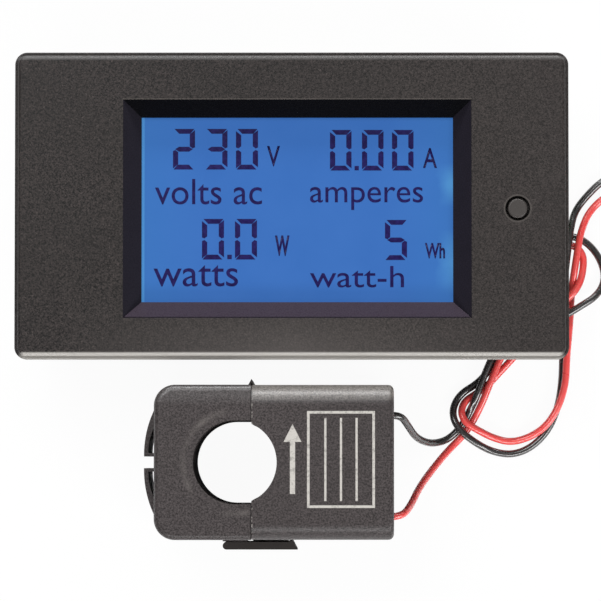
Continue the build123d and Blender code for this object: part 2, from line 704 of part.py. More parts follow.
# Parts soldered to the back of the board. Each share is the part's place from the board's
# middle, as a share of the board's width and height. Sizes are along X, along Y and down.
TALL_ROOM = 1.4  # from the tallest parts to the rear cover
DROPPER_SHARE = (-0.338, 0.258)
DROPPER_LONG = 18.0
DROPPER_WIDE = 8.0
SMOOTH_SHARES = ((-0.113, 0.296), (0.0125, 0.296))
SMOOTH_D = 8.0
SMOOTH_GROOVE = 0.4
VARISTOR_SHARE = (-0.438, -0.206)
VARISTOR_D = 9.5
VARISTOR_T = 4.0
FUSE_SHARES = ((-0.313, -0.103),)
FUSE_D = 3.2
FUSE_L = 9.0
DIODE_SHARES = ((-0.15, -0.051), (-0.15, -0.154), (-0.15, -0.257), (-0.15, -0.36))
DIODE_D = 2.4
DIODE_L = 4.6
WIRE_D = 0.7
WIRE_REACH = 1.6
STAND_OFF = 0.4
SOFT_EDGE_R = 0.8
CHIP_STEP = 1.27
LEG_W = 0.42
LEG_T = 0.2
LEG_OUT = 0.9
METERING_SHARE = (0.05, -0.206)
METERING_SIZE = (9.9, 3.9, 1.5)
METERING_LEGS = 7
CONTROLLER_SHARE = (0.219, -0.206)
CONTROLLER_SIZE = (12.8, 7.5, 2.3)
CONTROLLER_LEGS = 10
MEMORY_SHARE = (0.25, 0.103)
MEMORY_SIZE = (4.9, 3.9, 1.5)
MEMORY_LEGS = 4
CRYSTAL_SHARE = (0.175, 0.322)
CRYSTAL_SIZE = (10.6, 4.4, 3.4)
RESISTOR_SHARE = (-0.326, -0.322)
RESISTOR_SIZE = (3.2, 1.6, 0.6)
RESISTOR_STEP = (4.4, 2.6)
RESISTOR_COUNT = (3, 2)
FILTER_SHARE = (0.063, 0.013)
FILTER_SIZE = (1.6, 0.8, 0.8)
FILTER_STEP = (3.0, 2.0)
FILTER_COUNT = (4, 2)
TALL = BOARD_BACK - COVER_T - TALL_ROOM


def on_board(share):
    """A place on the board, from its share of the width and height."""
    return share[0] * BOARD_W, share[1] * BOARD_H


def under_board(share, size):
    """A block on the back of the board."""
    x, y = on_board(share)
    box_at(
        (x - size[0] / 2, y - size[1] / 2, BOARD_BACK - size[2]),
        (x + size[0] / 2, y + size[1] / 2, BOARD_BACK),
    )


def axial_parts(shares, diameter, length):
    """Round parts that lie along X on two bent wires."""
    axis_z = BOARD_BACK - STAND_OFF - diameter / 2
    reach = length / 2 + WIRE_REACH
    for x, y in map(on_board, shares):
        with Locations((x, y, axis_z)):
            Cylinder(diameter / 2, length, rotation=(0, 90, 0))
            Cylinder(WIRE_D / 2, 2 * reach, rotation=(0, 90, 0))
        for end in (-1, 1):
            post_at(x + end * (reach - WIRE_D / 2), y, axis_z - WIRE_D / 2, BOARD_BACK, WIRE_D / 2)


def small_outline_chip(share, size, legs):
    """A flat chip with a row of bent legs on each long side."""
    x, y = on_board(share)
    box_at(
        (x - size[0] / 2, y - size[1] / 2, BOARD_BACK - size[2]),
        (x + size[0] / 2, y + size[1] / 2, BOARD_BACK - SLIP),
    )
    middle = BOARD_BACK - size[2] / 2
    for side in (-1, 1):
        for i in range(legs):
            leg_x = x + (i - (legs - 1) / 2) * CHIP_STEP
            root, end = size[1] / 2, size[1] / 2 + LEG_OUT
            inner, outer = sorted((y + side * root, y + side * end))
            foot = sorted((y + side * (end - LEG_T), y + side * end))
            box_at((leg_x - LEG_W / 2, inner, middle - LEG_T), (leg_x + LEG_W / 2, outer, middle))
            box_at((leg_x - LEG_W / 2, foot[0], middle - LEG_T), (leg_x + LEG_W / 2, foot[1], BOARD_BACK))


with BuildPart() as dropper_capacitor:
    under_board(DROPPER_SHARE, (DROPPER_LONG, DROPPER_WIDE, TALL))
    fillet(dropper_capacitor.faces().sort_by(Axis.Z)[0].edges(), SOFT_EDGE_R)
save(dropper_capacitor, "dropper_capacitor")

with BuildPart() as smoothing_capacitors:
    for x, y in map(on_board, SMOOTH_SHARES):
        post_at(x, y, BOARD_BACK - TALL, BOARD_BACK, SMOOTH_D / 2)
        with Locations((x, y, BOARD_BACK - 2 * SMOOTH_GROOVE - WIRE_D)):
            Torus(SMOOTH_D / 2 + SMOOTH_GROOVE / 2, SMOOTH_GROOVE, mode=Mode.SUBTRACT)
save(smoothing_capacitors, "smoothing_capacitors")

with BuildPart() as varistor:
    x, y = on_board(VARISTOR_SHARE)
    disc_z = BOARD_BACK - STAND_OFF - VARISTOR_D / 2
    with Locations((x, y, disc_z)):
        Cylinder(VARISTOR_D / 2, VARISTOR_T, rotation=(0, 90, 0))
    fillet(varistor.edges().filter_by(GeomType.CIRCLE), SOFT_EDGE_R)
    for end in (-1, 1):
        post_at(x, y + end * VARISTOR_D / 4, disc_z, BOARD_BACK, WIRE_D / 2)
save(varistor, "varistor")

with BuildPart() as fuse_resistor:
    axial_parts(FUSE_SHARES, FUSE_D, FUSE_L)
save(fuse_resistor, "fuse_resistor")

with BuildPart() as rectifier_diodes:
    axial_parts(DIODE_SHARES, DIODE_D, DIODE_L)
save(rectifier_diodes, "rectifier_diodes")

with BuildPart() as metering_chip:
    small_outline_chip(METERING_SHARE, METERING_SIZE, METERING_LEGS)
save(metering_chip, "metering_chip")

with BuildPart() as controller_chip:
    small_outline_chip(CONTROLLER_SHARE, CONTROLLER_SIZE, CONTROLLER_LEGS)
save(controller_chip, "controller_chip")

with BuildPart() as memory_chip:
    small_outline_chip(MEMORY_SHARE, MEMORY_SIZE, MEMORY_LEGS)
save(memory_chip, "memory_chip")

with BuildPart() as crystal:
    under_board(CRYSTAL_SHARE, CRYSTAL_SIZE)
    fillet(crystal.edges().filter_by(Axis.Z), CRYSTAL_SIZE[1] / 2 - SLIP)
save(crystal, "crystal")

with BuildPart() as divider_resistors:
    with Locations((*on_board(RESISTOR_SHARE), BOARD_BACK - RESISTOR_SIZE[2] / 2)):
        with GridLocations(*RESISTOR_STEP, *RESISTOR_COUNT):
            Box(*RESISTOR_SIZE)
save(divider_resistors, "divider_resistors")

with BuildPart() as filter_capacitors:
    with Locations((*on_board(FILTER_SHARE), BOARD_BACK - FILTER_SIZE[2] / 2)):
        with GridLocations(*FILTER_STEP, *FILTER_COUNT):
            Box(*FILTER_SIZE)
save(filter_capacitors, "filter_capacitors")

# Current transformer

cap_right = CT_SPLIT_X - CT_SEAM / 2
body_left = CT_SPLIT_X + CT_SEAM / 2
core_low = CORE_FACE
core_high = CT_T - CORE_FACE
room_left = CT_HOLE_CX + CT_HOLE_R + CT_LINER
room_right = CT_RIGHT - END_T
room_half = CT_H / 2 - CT_WALL
room_low = CT_FACE_WALL
room_high = CT_T - CT_FACE_WALL
limb_in = CT_HOLE_R + CT_LINER + SLIP  # from the hole's centre line to the core's limbs
limb_out = room_half - CORE_PLAY
yoke_left = (room_left + room_right - CORE_YOKE) / 2
yoke_right = yoke_left + CORE_YOKE
cap_yoke = CT_HOLE_X - CT_HOLE_R - CT_LINER - CT_WALL - CORE_SPRING_GAP - SLIP


def core_limbs(left, right, grow=0.0, mode=Mode.ADD):
    """The two limbs of a core half, above and below the hole."""
    for side in (-1, 1):
        near, far = sorted((side * (limb_in - grow), side * (limb_out + grow)))
        box_at((left, CT_Y + near, core_low - grow), (right, CT_Y + far, core_high + grow), mode)


with BuildPart() as ct_body_shell:
    box_at((body_left, CT_LOW, 0), (CT_RIGHT, CT_TOP, CT_T))
    long_edges = ct_body_shell.edges().filter_by(Axis.X)
    fillet(long_edges, CT_BODY_R)
    fillet(ct_body_shell.faces().sort_by(Axis.X)[-1].edges(), CT_END_R)
    box_at(
        (room_left, CT_Y - room_half, room_low),
        (CT_RIGHT, CT_Y + room_half, room_high),
        Mode.SUBTRACT,
    )
    # rebate for the end cover
    with BuildSketch(Plane.YZ.offset(room_right)):
        with Locations((CT_Y, CT_T / 2)):
            RectangleRounded(
                2 * (room_half + END_REBATE), room_high - room_low + 2 * END_REBATE, END_CORNER_R + SLIP
            )
    extrude(amount=END_T, mode=Mode.SUBTRACT)
    core_limbs(body_left, room_left + PAST, SLIP, Mode.SUBTRACT)
    post_at(CT_HOLE_CX, CT_Y, 0, CT_T, CT_HOLE_R, Mode.SUBTRACT)
    # ridge that the latch hooks behind
    ridge_x = CT_LEFT + LATCH_ROOT + LATCH_LEN - LATCH_SLANT - TOOTH_LEN - RIDGE_GAP
    box_at(
        (ridge_x - RIDGE_LEN, CT_LOW - RIDGE_H, (CT_T - LATCH_Z) / 2),
        (ridge_x, CT_LOW + CT_WALL / 2, (CT_T + LATCH_Z) / 2),
    )
    # rib that the latch slides over
    guide_top = (CT_T - LATCH_Z) / 2 - GUIDE_DROP
    box_at((body_left, CT_LOW - GUIDE_OUT, guide_top - GUIDE_H), (ridge_x, CT_LOW + CT_WALL / 2, guide_top))
save(ct_body_shell, "ct_body_shell")

with BuildPart() as ct_end_cover:
    with BuildSketch(Plane.YZ.offset(room_right)):
        with Locations((CT_Y, CT_T / 2)):
            RectangleRounded(
                2 * (room_half + END_REBATE - SLIP),
                room_high - room_low + 2 * (END_REBATE - SLIP),
                END_CORNER_R,
            )
        with Locations((RED_Y, LEAD_Z), (BLACK_Y, LEAD_Z)):
            Circle(LEAD_D / 2 + SLIP, mode=Mode.SUBTRACT)
    extrude(amount=END_T)
save(ct_end_cover, "ct_end_cover")

with BuildPart() as ct_body_core:
    core_limbs(body_left, yoke_left + PAST)
    box_at((yoke_left, CT_Y - limb_out, core_low), (yoke_right, CT_Y + limb_out, core_high))
save(ct_body_core, "ct_body_core")

bobbin_half = limb_in - PLAY
tube_x = (yoke_left - SLIP - BOBBIN_WALL, yoke_right + SLIP + BOBBIN_WALL)
tube_z = (core_low - SLIP - BOBBIN_WALL, core_high + SLIP + BOBBIN_WALL)
flange_x = (room_left + AIR, room_right - AIR)
flange_z = (room_low + PLAY, room_high - PLAY)
with BuildPart() as ct_bobbin:
    box_at((tube_x[0], CT_Y - bobbin_half, tube_z[0]), (tube_x[1], CT_Y + bobbin_half, tube_z[1]))
    for side in (-1, 1):
        near, far = sorted((side * (bobbin_half - BOBBIN_FLANGE), side * bobbin_half))
        box_at(
            (flange_x[0], CT_Y + near, flange_z[0]),
            (flange_x[1], CT_Y + far, flange_z[1]),
        )
    box_at(
        (yoke_left - SLIP, CT_Y - bobbin_half, core_low - SLIP),
        (yoke_right + SLIP, CT_Y + bobbin_half, core_high + SLIP),
        Mode.SUBTRACT,
    )
save(ct_bobbin, "ct_bobbin")

winding_half = bobbin_half - BOBBIN_FLANGE
with BuildPart() as ct_winding:
    with BuildSketch(Plane.XZ.offset(-CT_Y + winding_half)):
        with Locations(((tube_x[0] + tube_x[1]) / 2, CT_T / 2)):
            RectangleRounded(
                tube_x[1] - tube_x[0] + 2 * WINDING_BUILD,
                tube_z[1] - tube_z[0] + 2 * WINDING_BUILD,
                WINDING_CORNER_R,
            )
            Rectangle(tube_x[1] - tube_x[0], tube_z[1] - tube_z[0], mode=Mode.SUBTRACT)
    extrude(amount=-2 * winding_half)
save(ct_winding, "ct_winding")

with BuildPart() as ct_lead_tails:
    tail_left = flange_x[1] + SLIP
    for y in (RED_Y, BLACK_Y):
        with Locations(((tail_left + CT_RIGHT) / 2, y, LEAD_Z)):
            Cylinder(LEAD_D / 2, CT_RIGHT - tail_left, rotation=(0, 90, 0))
save(ct_lead_tails, "ct_lead_tails")

latch_x = CT_LEFT + LATCH_ROOT
latch_y = CT_LOW - LATCH_GAP - LATCH_T / 2
with BuildPart() as ct_cap_shell:
    box_at((CT_LEFT, CT_LOW, 0), (cap_right, CT_TOP, CT_T))
    left_corners = ct_cap_shell.edges().filter_by(Axis.Z).group_by(Axis.X)[0]
    fillet(left_corners, CT_CAP_CORNER_R)
    for face in (ct_cap_shell.faces().sort_by(Axis.Z)[0], ct_cap_shell.faces().sort_by(Axis.Z)[-1]):
        rim = [e for e in face.edges() if e.center().X < cap_right - SLIP]
        fillet(rim, CT_CAP_EDGE_R)
    # cable tie ears, each with its slot
    for side in (-1, 1):
        start = CT_Y + side * EAR_GAP / 2
        end = start + side * EAR_LEN
        slot = (start + side * EAR_SLOT_END, start + side * (EAR_SLOT_END + EAR_SLOT_LEN))
        slot_out = EAR_OUT - EAR_BAND
        with BuildSketch(Plane.XY.offset(EAR_Z_LOW)):
            with BuildLine():
                Polyline(
                    (CT_LEFT, end),
                    (CT_LEFT + CT_WALL, end),
                    (CT_LEFT + CT_WALL, start),
                    (CT_LEFT - EAR_OUT, start),
                )
                ThreePointArc(
                    (CT_LEFT - EAR_OUT, start),
                    (CT_LEFT - EAR_BOW * EAR_OUT, (start + end) / 2),
                    (CT_LEFT, end),
                )
            make_face()
            with BuildLine():
                Line((CT_LEFT, slot[1]), (CT_LEFT, slot[0]))
                Line((CT_LEFT, slot[0]), (CT_LEFT - slot_out, slot[0]))
                ThreePointArc(
                    (CT_LEFT - slot_out, slot[0]),
                    (CT_LEFT - EAR_BOW * slot_out, sum(slot) / 2),
                    (CT_LEFT, slot[1]),
                )
            make_face(mode=Mode.SUBTRACT)
        extrude(amount=EAR_Z_TOP - EAR_Z_LOW)
    # pad that carries the latch's root
    box_at(
        (latch_x - LATCH_T / 2, CT_LOW - LATCH_PAD_RISE, (CT_T - LATCH_Z) / 2),
        (latch_x + LATCH_PAD, CT_LOW + CT_WALL / 2, (CT_T + LATCH_Z) / 2),
    )
    # hole: round at the left, straight sides up to the split
    post_at(CT_HOLE_CX, CT_Y, 0, CT_T, CT_HOLE_R, Mode.SUBTRACT)
    box_at((CT_HOLE_CX, CT_Y - CT_HOLE_R, 0), (cap_right, CT_Y + CT_HOLE_R, CT_T), Mode.SUBTRACT)
    # pocket for the core and its spring
    core_left = CT_LEFT + CT_WALL + CORE_SPRING_GAP
    core_limbs(core_left - SLIP, cap_right, SLIP, Mode.SUBTRACT)
    box_at(
        (CT_LEFT + CT_WALL, CT_Y - limb_out - SLIP, core_low - SLIP),
        (core_left + cap_yoke + SLIP, CT_Y + limb_out + SLIP, core_high + SLIP),
        Mode.SUBTRACT,
    )
save(ct_cap_shell, "ct_cap_shell")

with BuildPart() as ct_cap_core:
    core_limbs(core_left, cap_right)
    box_at((core_left, CT_Y - limb_out, core_low), (core_left + cap_yoke, CT_Y + limb_out, core_high))
save(ct_cap_core, "ct_cap_core")

with BuildPart() as ct_core_spring:
    spring_left = CT_LEFT + CT_WALL + SLIP / 2
    spring_high = core_left - SLIP / 2 - SPRING_T
    with BuildSketch(Plane.XY.offset((CT_T - SPRING_Z) / 2)):
        with BuildLine():
            ends = [(spring_left, CT_Y - SPRING_LEN / 2), (spring_left, CT_Y + SPRING_LEN / 2)]
            top = [(x + SPRING_T, y) for x, y in ends]
            ThreePointArc(ends[0], (spring_high, CT_Y), ends[1])
            Line(ends[1], top[1])
            ThreePointArc(top[1], (spring_high + SPRING_T, CT_Y), top[0])
            Line(top[0], ends[0])
        make_face()
    extrude(amount=SPRING_Z)
save(ct_core_spring, "ct_core_spring")

with BuildPart() as ct_hinge_strip:
    peak = (CT_SPLIT_X, CT_TOP + STRIP_RISE)
    with BuildSketch(Plane.XY.offset((CT_T - STRIP_Z) / 2)):
        with BuildLine():
            Polyline(
                (CT_SPLIT_X - STRIP_HALF, CT_TOP),
                peak,
                (CT_SPLIT_X + STRIP_HALF, CT_TOP),
                (CT_SPLIT_X + STRIP_HALF - STRIP_T, CT_TOP),
                (CT_SPLIT_X, CT_TOP + STRIP_RISE - 2 * STRIP_T),
                (CT_SPLIT_X - STRIP_HALF + STRIP_T, CT_TOP),
                close=True,
            )
        make_face()
    extrude(amount=STRIP_Z)
save(ct_hinge_strip, "ct_hinge_strip")

with BuildPart() as ct_latch:
    near_y = latch_y + LATCH_T / 2
    far_y = latch_y - LATCH_T / 2
    tip_x = latch_x + LATCH_LEN
    with BuildSketch(Plane.XY.offset((CT_T - LATCH_Z) / 2)):
        with Locations((latch_x, latch_y)):
            Circle(LATCH_T / 2)
        with BuildLine():
            Polyline(
                (latch_x, near_y),
                (tip_x - LATCH_SLANT - TOOTH_LEN, near_y),
                (tip_x - LATCH_SLANT - TOOTH_LEN, near_y + TOOTH_H),
                (tip_x - LATCH_SLANT, near_y + TOOTH_H),
                (tip_x, far_y),
                (latch_x, far_y),
                close=True,
            )
        make_face()
    extrude(amount=LATCH_Z)
save(ct_latch, "ct_latch")

# Leads


def corner_radii(route):
    """As large an arc at each corner as its two runs allow."""
    points = [Vector(*p) for p in route]
    radii = []
    for before, here, after in zip(points, points[1:], points[2:]):
        turn = (here - before).get_angle(after - here)
        shorter = min((here - before).length, (after - here).length)
        radii.append(ARC_SHARE * shorter / tan(radians(turn) / 2))
    return radii


def make_lead(name, route):
    """A lead's tube along its route, straight runs joined by tangent arcs."""
    radii = corner_radii(route)
    with BuildPart() as lead:
        with BuildLine() as line:
            FilletPolyline(*route, radius=radii)
        start = Plane(origin=route[0], z_dir=line.wire() % 0)
        with BuildSketch(start):
            Circle(LEAD_D / 2)
        sweep(path=line.wire())
    length = line.wire().length
    whole = length * pi * (LEAD_D / 2) ** 2
    print(name, "length", round(length, 1), "volume share", round(lead.part.volume / whole, 4))
    print(name, "radii", [round(r, 1) for r in radii])
    save(lead, name)
    return line.wire()


red_line = make_lead("lead_red", RED_ROUTE)
black_line = make_lead("lead_black", BLACK_ROUTE)

with BuildPart() as lead_tips:
    for wire in (red_line, black_line):
        end = Plane(origin=wire @ 1, z_dir=wire % 1)
        with BuildSketch(end):
            Circle(TIP_D / 2)
        extrude(amount=TIP_L)
save(lead_tips, "lead_tips")
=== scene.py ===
"""Looks of an AC power meter with its split-core current transformer, seen from above."""

import math

import bmesh
import bpy
from mathutils import Matrix, Vector


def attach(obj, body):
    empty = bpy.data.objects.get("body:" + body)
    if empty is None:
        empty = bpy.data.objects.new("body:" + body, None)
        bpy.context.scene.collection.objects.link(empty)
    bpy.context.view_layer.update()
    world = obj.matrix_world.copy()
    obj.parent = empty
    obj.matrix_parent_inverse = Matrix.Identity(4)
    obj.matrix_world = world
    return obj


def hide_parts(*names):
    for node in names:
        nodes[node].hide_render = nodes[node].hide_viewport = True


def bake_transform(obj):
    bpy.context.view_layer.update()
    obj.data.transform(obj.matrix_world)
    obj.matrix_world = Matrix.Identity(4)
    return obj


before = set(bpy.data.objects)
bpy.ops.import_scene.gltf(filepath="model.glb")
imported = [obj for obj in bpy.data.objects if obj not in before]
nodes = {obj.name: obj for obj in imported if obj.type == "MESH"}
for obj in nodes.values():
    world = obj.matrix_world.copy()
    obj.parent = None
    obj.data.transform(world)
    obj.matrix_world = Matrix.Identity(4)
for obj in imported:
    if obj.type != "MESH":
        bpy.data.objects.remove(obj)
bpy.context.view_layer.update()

# Sizes in millimetres, as in the CAD source
MM = 0.001
LEAD_D = 1.2
GLASS_TOP = 20.8
FACE_TOP = 24.4
RECESS_MID = (0.9, -0.55)
RECESS_HALF = (28.25, 17.75)  # half of the window's opening at the face
BUTTON_MID = (36.6, -0.5)
BUTTON_RIM = 2.15
CT_TOP_Z = 27.0
CT_SPLIT_X = -6.52
CT_HOLE = (-9.15, -41.6)

# The camera stands above the face and a little towards the transformer
CAMERA_AT = (3.4, -41.5, 624.4)
CAMERA_TO = (1.43, -15.45, 24.4)
CAMERA_FOCAL_PX = 3713.0
CAMERA_NEAR = 0.02
IMAGE_PX = 601.0
SENSOR = 36.0


def added(name, data):
    """A new object in the scene."""
    made = bpy.data.objects.new(name, data)
    bpy.context.scene.collection.objects.link(made)
    return made


eye, aim = Vector(CAMERA_AT) * MM, Vector(CAMERA_TO) * MM
ahead = (aim - eye).normalized()
side = ahead.cross(Vector((0, 1, 0))).normalized()
above = side.cross(ahead)
camera_data = bpy.data.cameras.new("camera")
camera_data.lens = CAMERA_FOCAL_PX / IMAGE_PX * SENSOR
camera_data.sensor_width = SENSOR
camera_data.clip_start = CAMERA_NEAR
camera = added("camera", camera_data)
turn = Matrix((side, above, -ahead)).transposed()
camera.matrix_world = Matrix.Translation(eye) @ turn.to_4x4()
bpy.context.scene.camera = camera
bpy.context.scene.view_settings.view_transform = "Standard"


def ground_point(px, py, z):
    """The place at height z, in millimetres, that the camera sees at a pixel of the picture."""
    ray = ahead + side * ((px - IMAGE_PX / 2) / CAMERA_FOCAL_PX)
    ray -= above * ((py - IMAGE_PX / 2) / CAMERA_FOCAL_PX)
    return (eye + ray * ((z * MM - eye.z) / ray.z)) / MM


def new_mesh(name, verts, faces):
    """A mesh object from points in millimetres."""
    data = bpy.data.meshes.new(name)
    data.from_pydata([tuple(c * MM for c in v) for v in verts], [], faces)
    data.validate()
    return added(name, data)


def mesh_of(name, curve):
    """The mesh that a curve or a text makes."""
    holder = added(name, curve)
    bpy.context.view_layer.update()
    made = bpy.data.meshes.new_from_object(holder)
    bpy.data.objects.remove(holder)
    return made


# Routes of the two leads, in millimetres: control points of one smooth spline each
TABLE = 0.62  # a lead's centre line where it lies on the table
OVER = 2.05  # and where it crosses another lead
RED_ROUTE = [
    (16.5, -50.5, 13.5), (18.1, -50.45, 13.4), (19.6, -48.7, 10.9), (21, -45.9, 7.2),
    (23.5, -42.6, 3.6), (26.2, -39.5, 1.3), (28.8, -37, TABLE), (30.5, -34.4, TABLE),
    (31.75, -31.8, 1.6), (32.95, -28.8, OVER), (34.3, -25.4, 2), (36.3, -21.4, 2),
    (39.1, -16.7, 1), (42.3, -11.6, TABLE), (43.67, -8.8, TABLE), (43.67, -6.6, TABLE),
    (45.2, -5.1, TABLE), (47.4, -5.1, TABLE), (48.9, -6.6, TABLE), (48.95, -8.9, 0.7),
    (48.3, -11.5, 1.7), (47, -13.5, 2.1), (44.6, -15.4, 2), (42.1, -18.1, TABLE),
    (39.6, -21.3, TABLE), (36.95, -24.2, TABLE), (34.8, -26.5, TABLE), (32.7, -28.8, TABLE),
    (30.5, -30.3, TABLE), (28.85, -31.4, 1.0), (28.2, -33.2, 1.8), (28.95, -34.95, 2.1),
    (31, -36.2, 2), (33.6, -37.5, 1), (36.6, -38.3, TABLE), (39.9, -37.4, 1),
    (42.6, -35.5, 1.95), (44.6, -32.4, 2), (45.8, -28.4, 2), (45.95, -24.6, 2),
    (46.3, -20.8, 1.7), (46.7, -17.1, TABLE), (46.9, -12.8, TABLE), (47.4, -9.1, 1.7),
    (47.9, -5.8, 2), (48.5, -2.6, 2), (50, 0.7, TABLE), (53, 3.4, TABLE), (56.9, 3.9, TABLE),
    (60.4, 2, TABLE), (62.4, -1.6, TABLE), (63, -5.6, TABLE), (62.4, -9.2, TABLE),
    (60.9, -12.6, TABLE), (60.2, -16.2, TABLE), (61.4, -19.6, TABLE), (64, -22, TABLE),
]
BLACK_ROUTE = [
    (16.5, -33.9, 13.5), (17.9, -33.9, 13.4), (19.05, -35.4, 10.9), (20.5, -37.5, 6.8),
    (22.9, -38.5, 3), (25.5, -38.1, 1), (27.4, -36.7, TABLE), (28.9, -34.7, TABLE),
    (29.8, -32.9, TABLE), (30.7, -31, 2), (31.7, -28.2, OVER), (33.2, -24.6, 2), (35, -21, 1.5),
    (37.4, -16.4, TABLE), (39.9, -11.2, TABLE), (41.9, -6.5, TABLE), (44.7, -3.5, TABLE),
    (47.9, -3.7, TABLE), (50.3, -5.3, TABLE), (52.1, -8.1, TABLE), (52.6, -11.2, TABLE),
    (51, -13.8, 1.5), (48.4, -15.4, 2.1), (45.6, -17.1, OVER), (42.6, -18.9, OVER),
    (39.8, -19.9, 1.95), (36.8, -21.8, TABLE), (34.5, -23.9, TABLE), (32.8, -26.5, TABLE),
    (30.9, -28.5, TABLE), (28.4, -29.98, TABLE), (27, -32.1, 0.9), (26.9, -34.4, 1.9),
    (28.4, -36.6, 2.1), (30.6, -38.3, 1.9), (33.4, -39.8, TABLE), (36.9, -40.4, TABLE),
    (40.2, -39.1, TABLE), (43, -36.2, TABLE), (44.6, -32.4, TABLE), (45.3, -28, TABLE),
    (45.4, -23, TABLE), (45.35, -17.6, TABLE), (45.6, -12.2, TABLE), (45.9, -8.8, 1.8),
    (46.3, -5.4, 2.1), (46.7, -2.4, 2), (47.5, 0.6, TABLE), (49.5, 3.2, TABLE),
    (52.4, 6, TABLE), (56.4, 7.4, TABLE), (60.6, 6.8, TABLE), (64.2, 4.4, TABLE),
    (66.3, 0.8, TABLE), (66.9, -3.1, TABLE),
]

# Shape of the leads' meshes
LEAD_SIDES = 20
LEAD_STEPS = 10  # points of the line for each stretch of the spline
LEAD_ROUNDING = 0.18  # how far an end is rounded off, as a share of the radius


def lead_line(name, route):
    """The points that a lead follows, read from a bare spline through its route."""
    curve = bpy.data.curves.new(name + "_line", "CURVE")
    curve.dimensions = "3D"
    curve.resolution_u = LEAD_STEPS
    spline = curve.splines.new("NURBS")
    spline.points.add(len(route) - 1)
    for point, place in zip(spline.points, route):
        point.co = (*(c * MM for c in place), 1.0)
    spline.order_u = 3
    spline.use_endpoint_u = True
    bare = mesh_of(name + "_line", curve)
    line = [v.co.copy() for v in bare.vertices]
    bpy.data.meshes.remove(bare)
    return line


def tube(name, line, radius, sides):
    """A round tube along a line, with the rims of its flat ends rounded off."""
    last = len(line) - 1
    tangents = []
    for i in range(last + 1):
        tangents.append((line[min(i + 1, last)] - line[max(i - 1, 0)]).normalized())
    normal = tangents[0].orthogonal().normalized()
    rim = radius * LEAD_ROUNDING
    narrow = 1 - LEAD_ROUNDING
    # Each ring's place on the line, its shift along it and its share of the radius
    stations = [(0, 0.0, narrow), (0, rim, 1.0)]
    stations += [(i, 0.0, 1.0) for i in range(1, last)]
    stations += [(last, -rim, 1.0), (last, 0.0, narrow)]
    verts, faces, rings = [], [], []
    for i, shift, share in stations:
        t = tangents[i]
        normal = (normal - t * normal.dot(t)).normalized()
        across = t.cross(normal)
        place = line[i] + t * shift
        rings.append([len(verts) + s for s in range(sides)])
        for s in range(sides):
            angle = 2 * math.pi * s / sides
            offset = (normal * math.cos(angle) + across * math.sin(angle)) * radius * share
            verts.append((place + offset) / MM)
    for low, high in zip(rings, rings[1:]):
        for s in range(sides):
            n = (s + 1) % sides
            faces.append((low[s], low[n], high[n], high[s]))
    faces.append(tuple(reversed(rings[0])))
    faces.append(tuple(rings[-1]))
    piece = new_mesh(name, verts, faces)
    for polygon in piece.data.polygons:
        polygon.use_smooth = len(polygon.vertices) == 4
    return piece


leads = []
for name, route, slot in (
    ("lead_red", RED_ROUTE, "red_insulation"),
    ("lead_black", BLACK_ROUTE, "black_insulation"),
):
    line = lead_line(name, route)
    piece = tube(name.replace("lead", "wire"), line, LEAD_D / 2 * MM, LEAD_SIDES)
    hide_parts(name)
    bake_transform(piece)
    leads.append((piece, slot))


# Materials, all from shader nodes


def srgb(r, g, b):
    """A colour given as it looks on a screen, from 0 to 255."""
    out = []
    for c in (r, g, b):
        c /= 255
        out.append(c / 12.92 if c <= 0.04045 else ((c + 0.055) / 1.055) ** 2.4)
    return (*out, 1.0)


def shaded(color, share):
    """The same colour, darker or lighter."""
    return (*(c * share for c in color[:3]), 1.0)


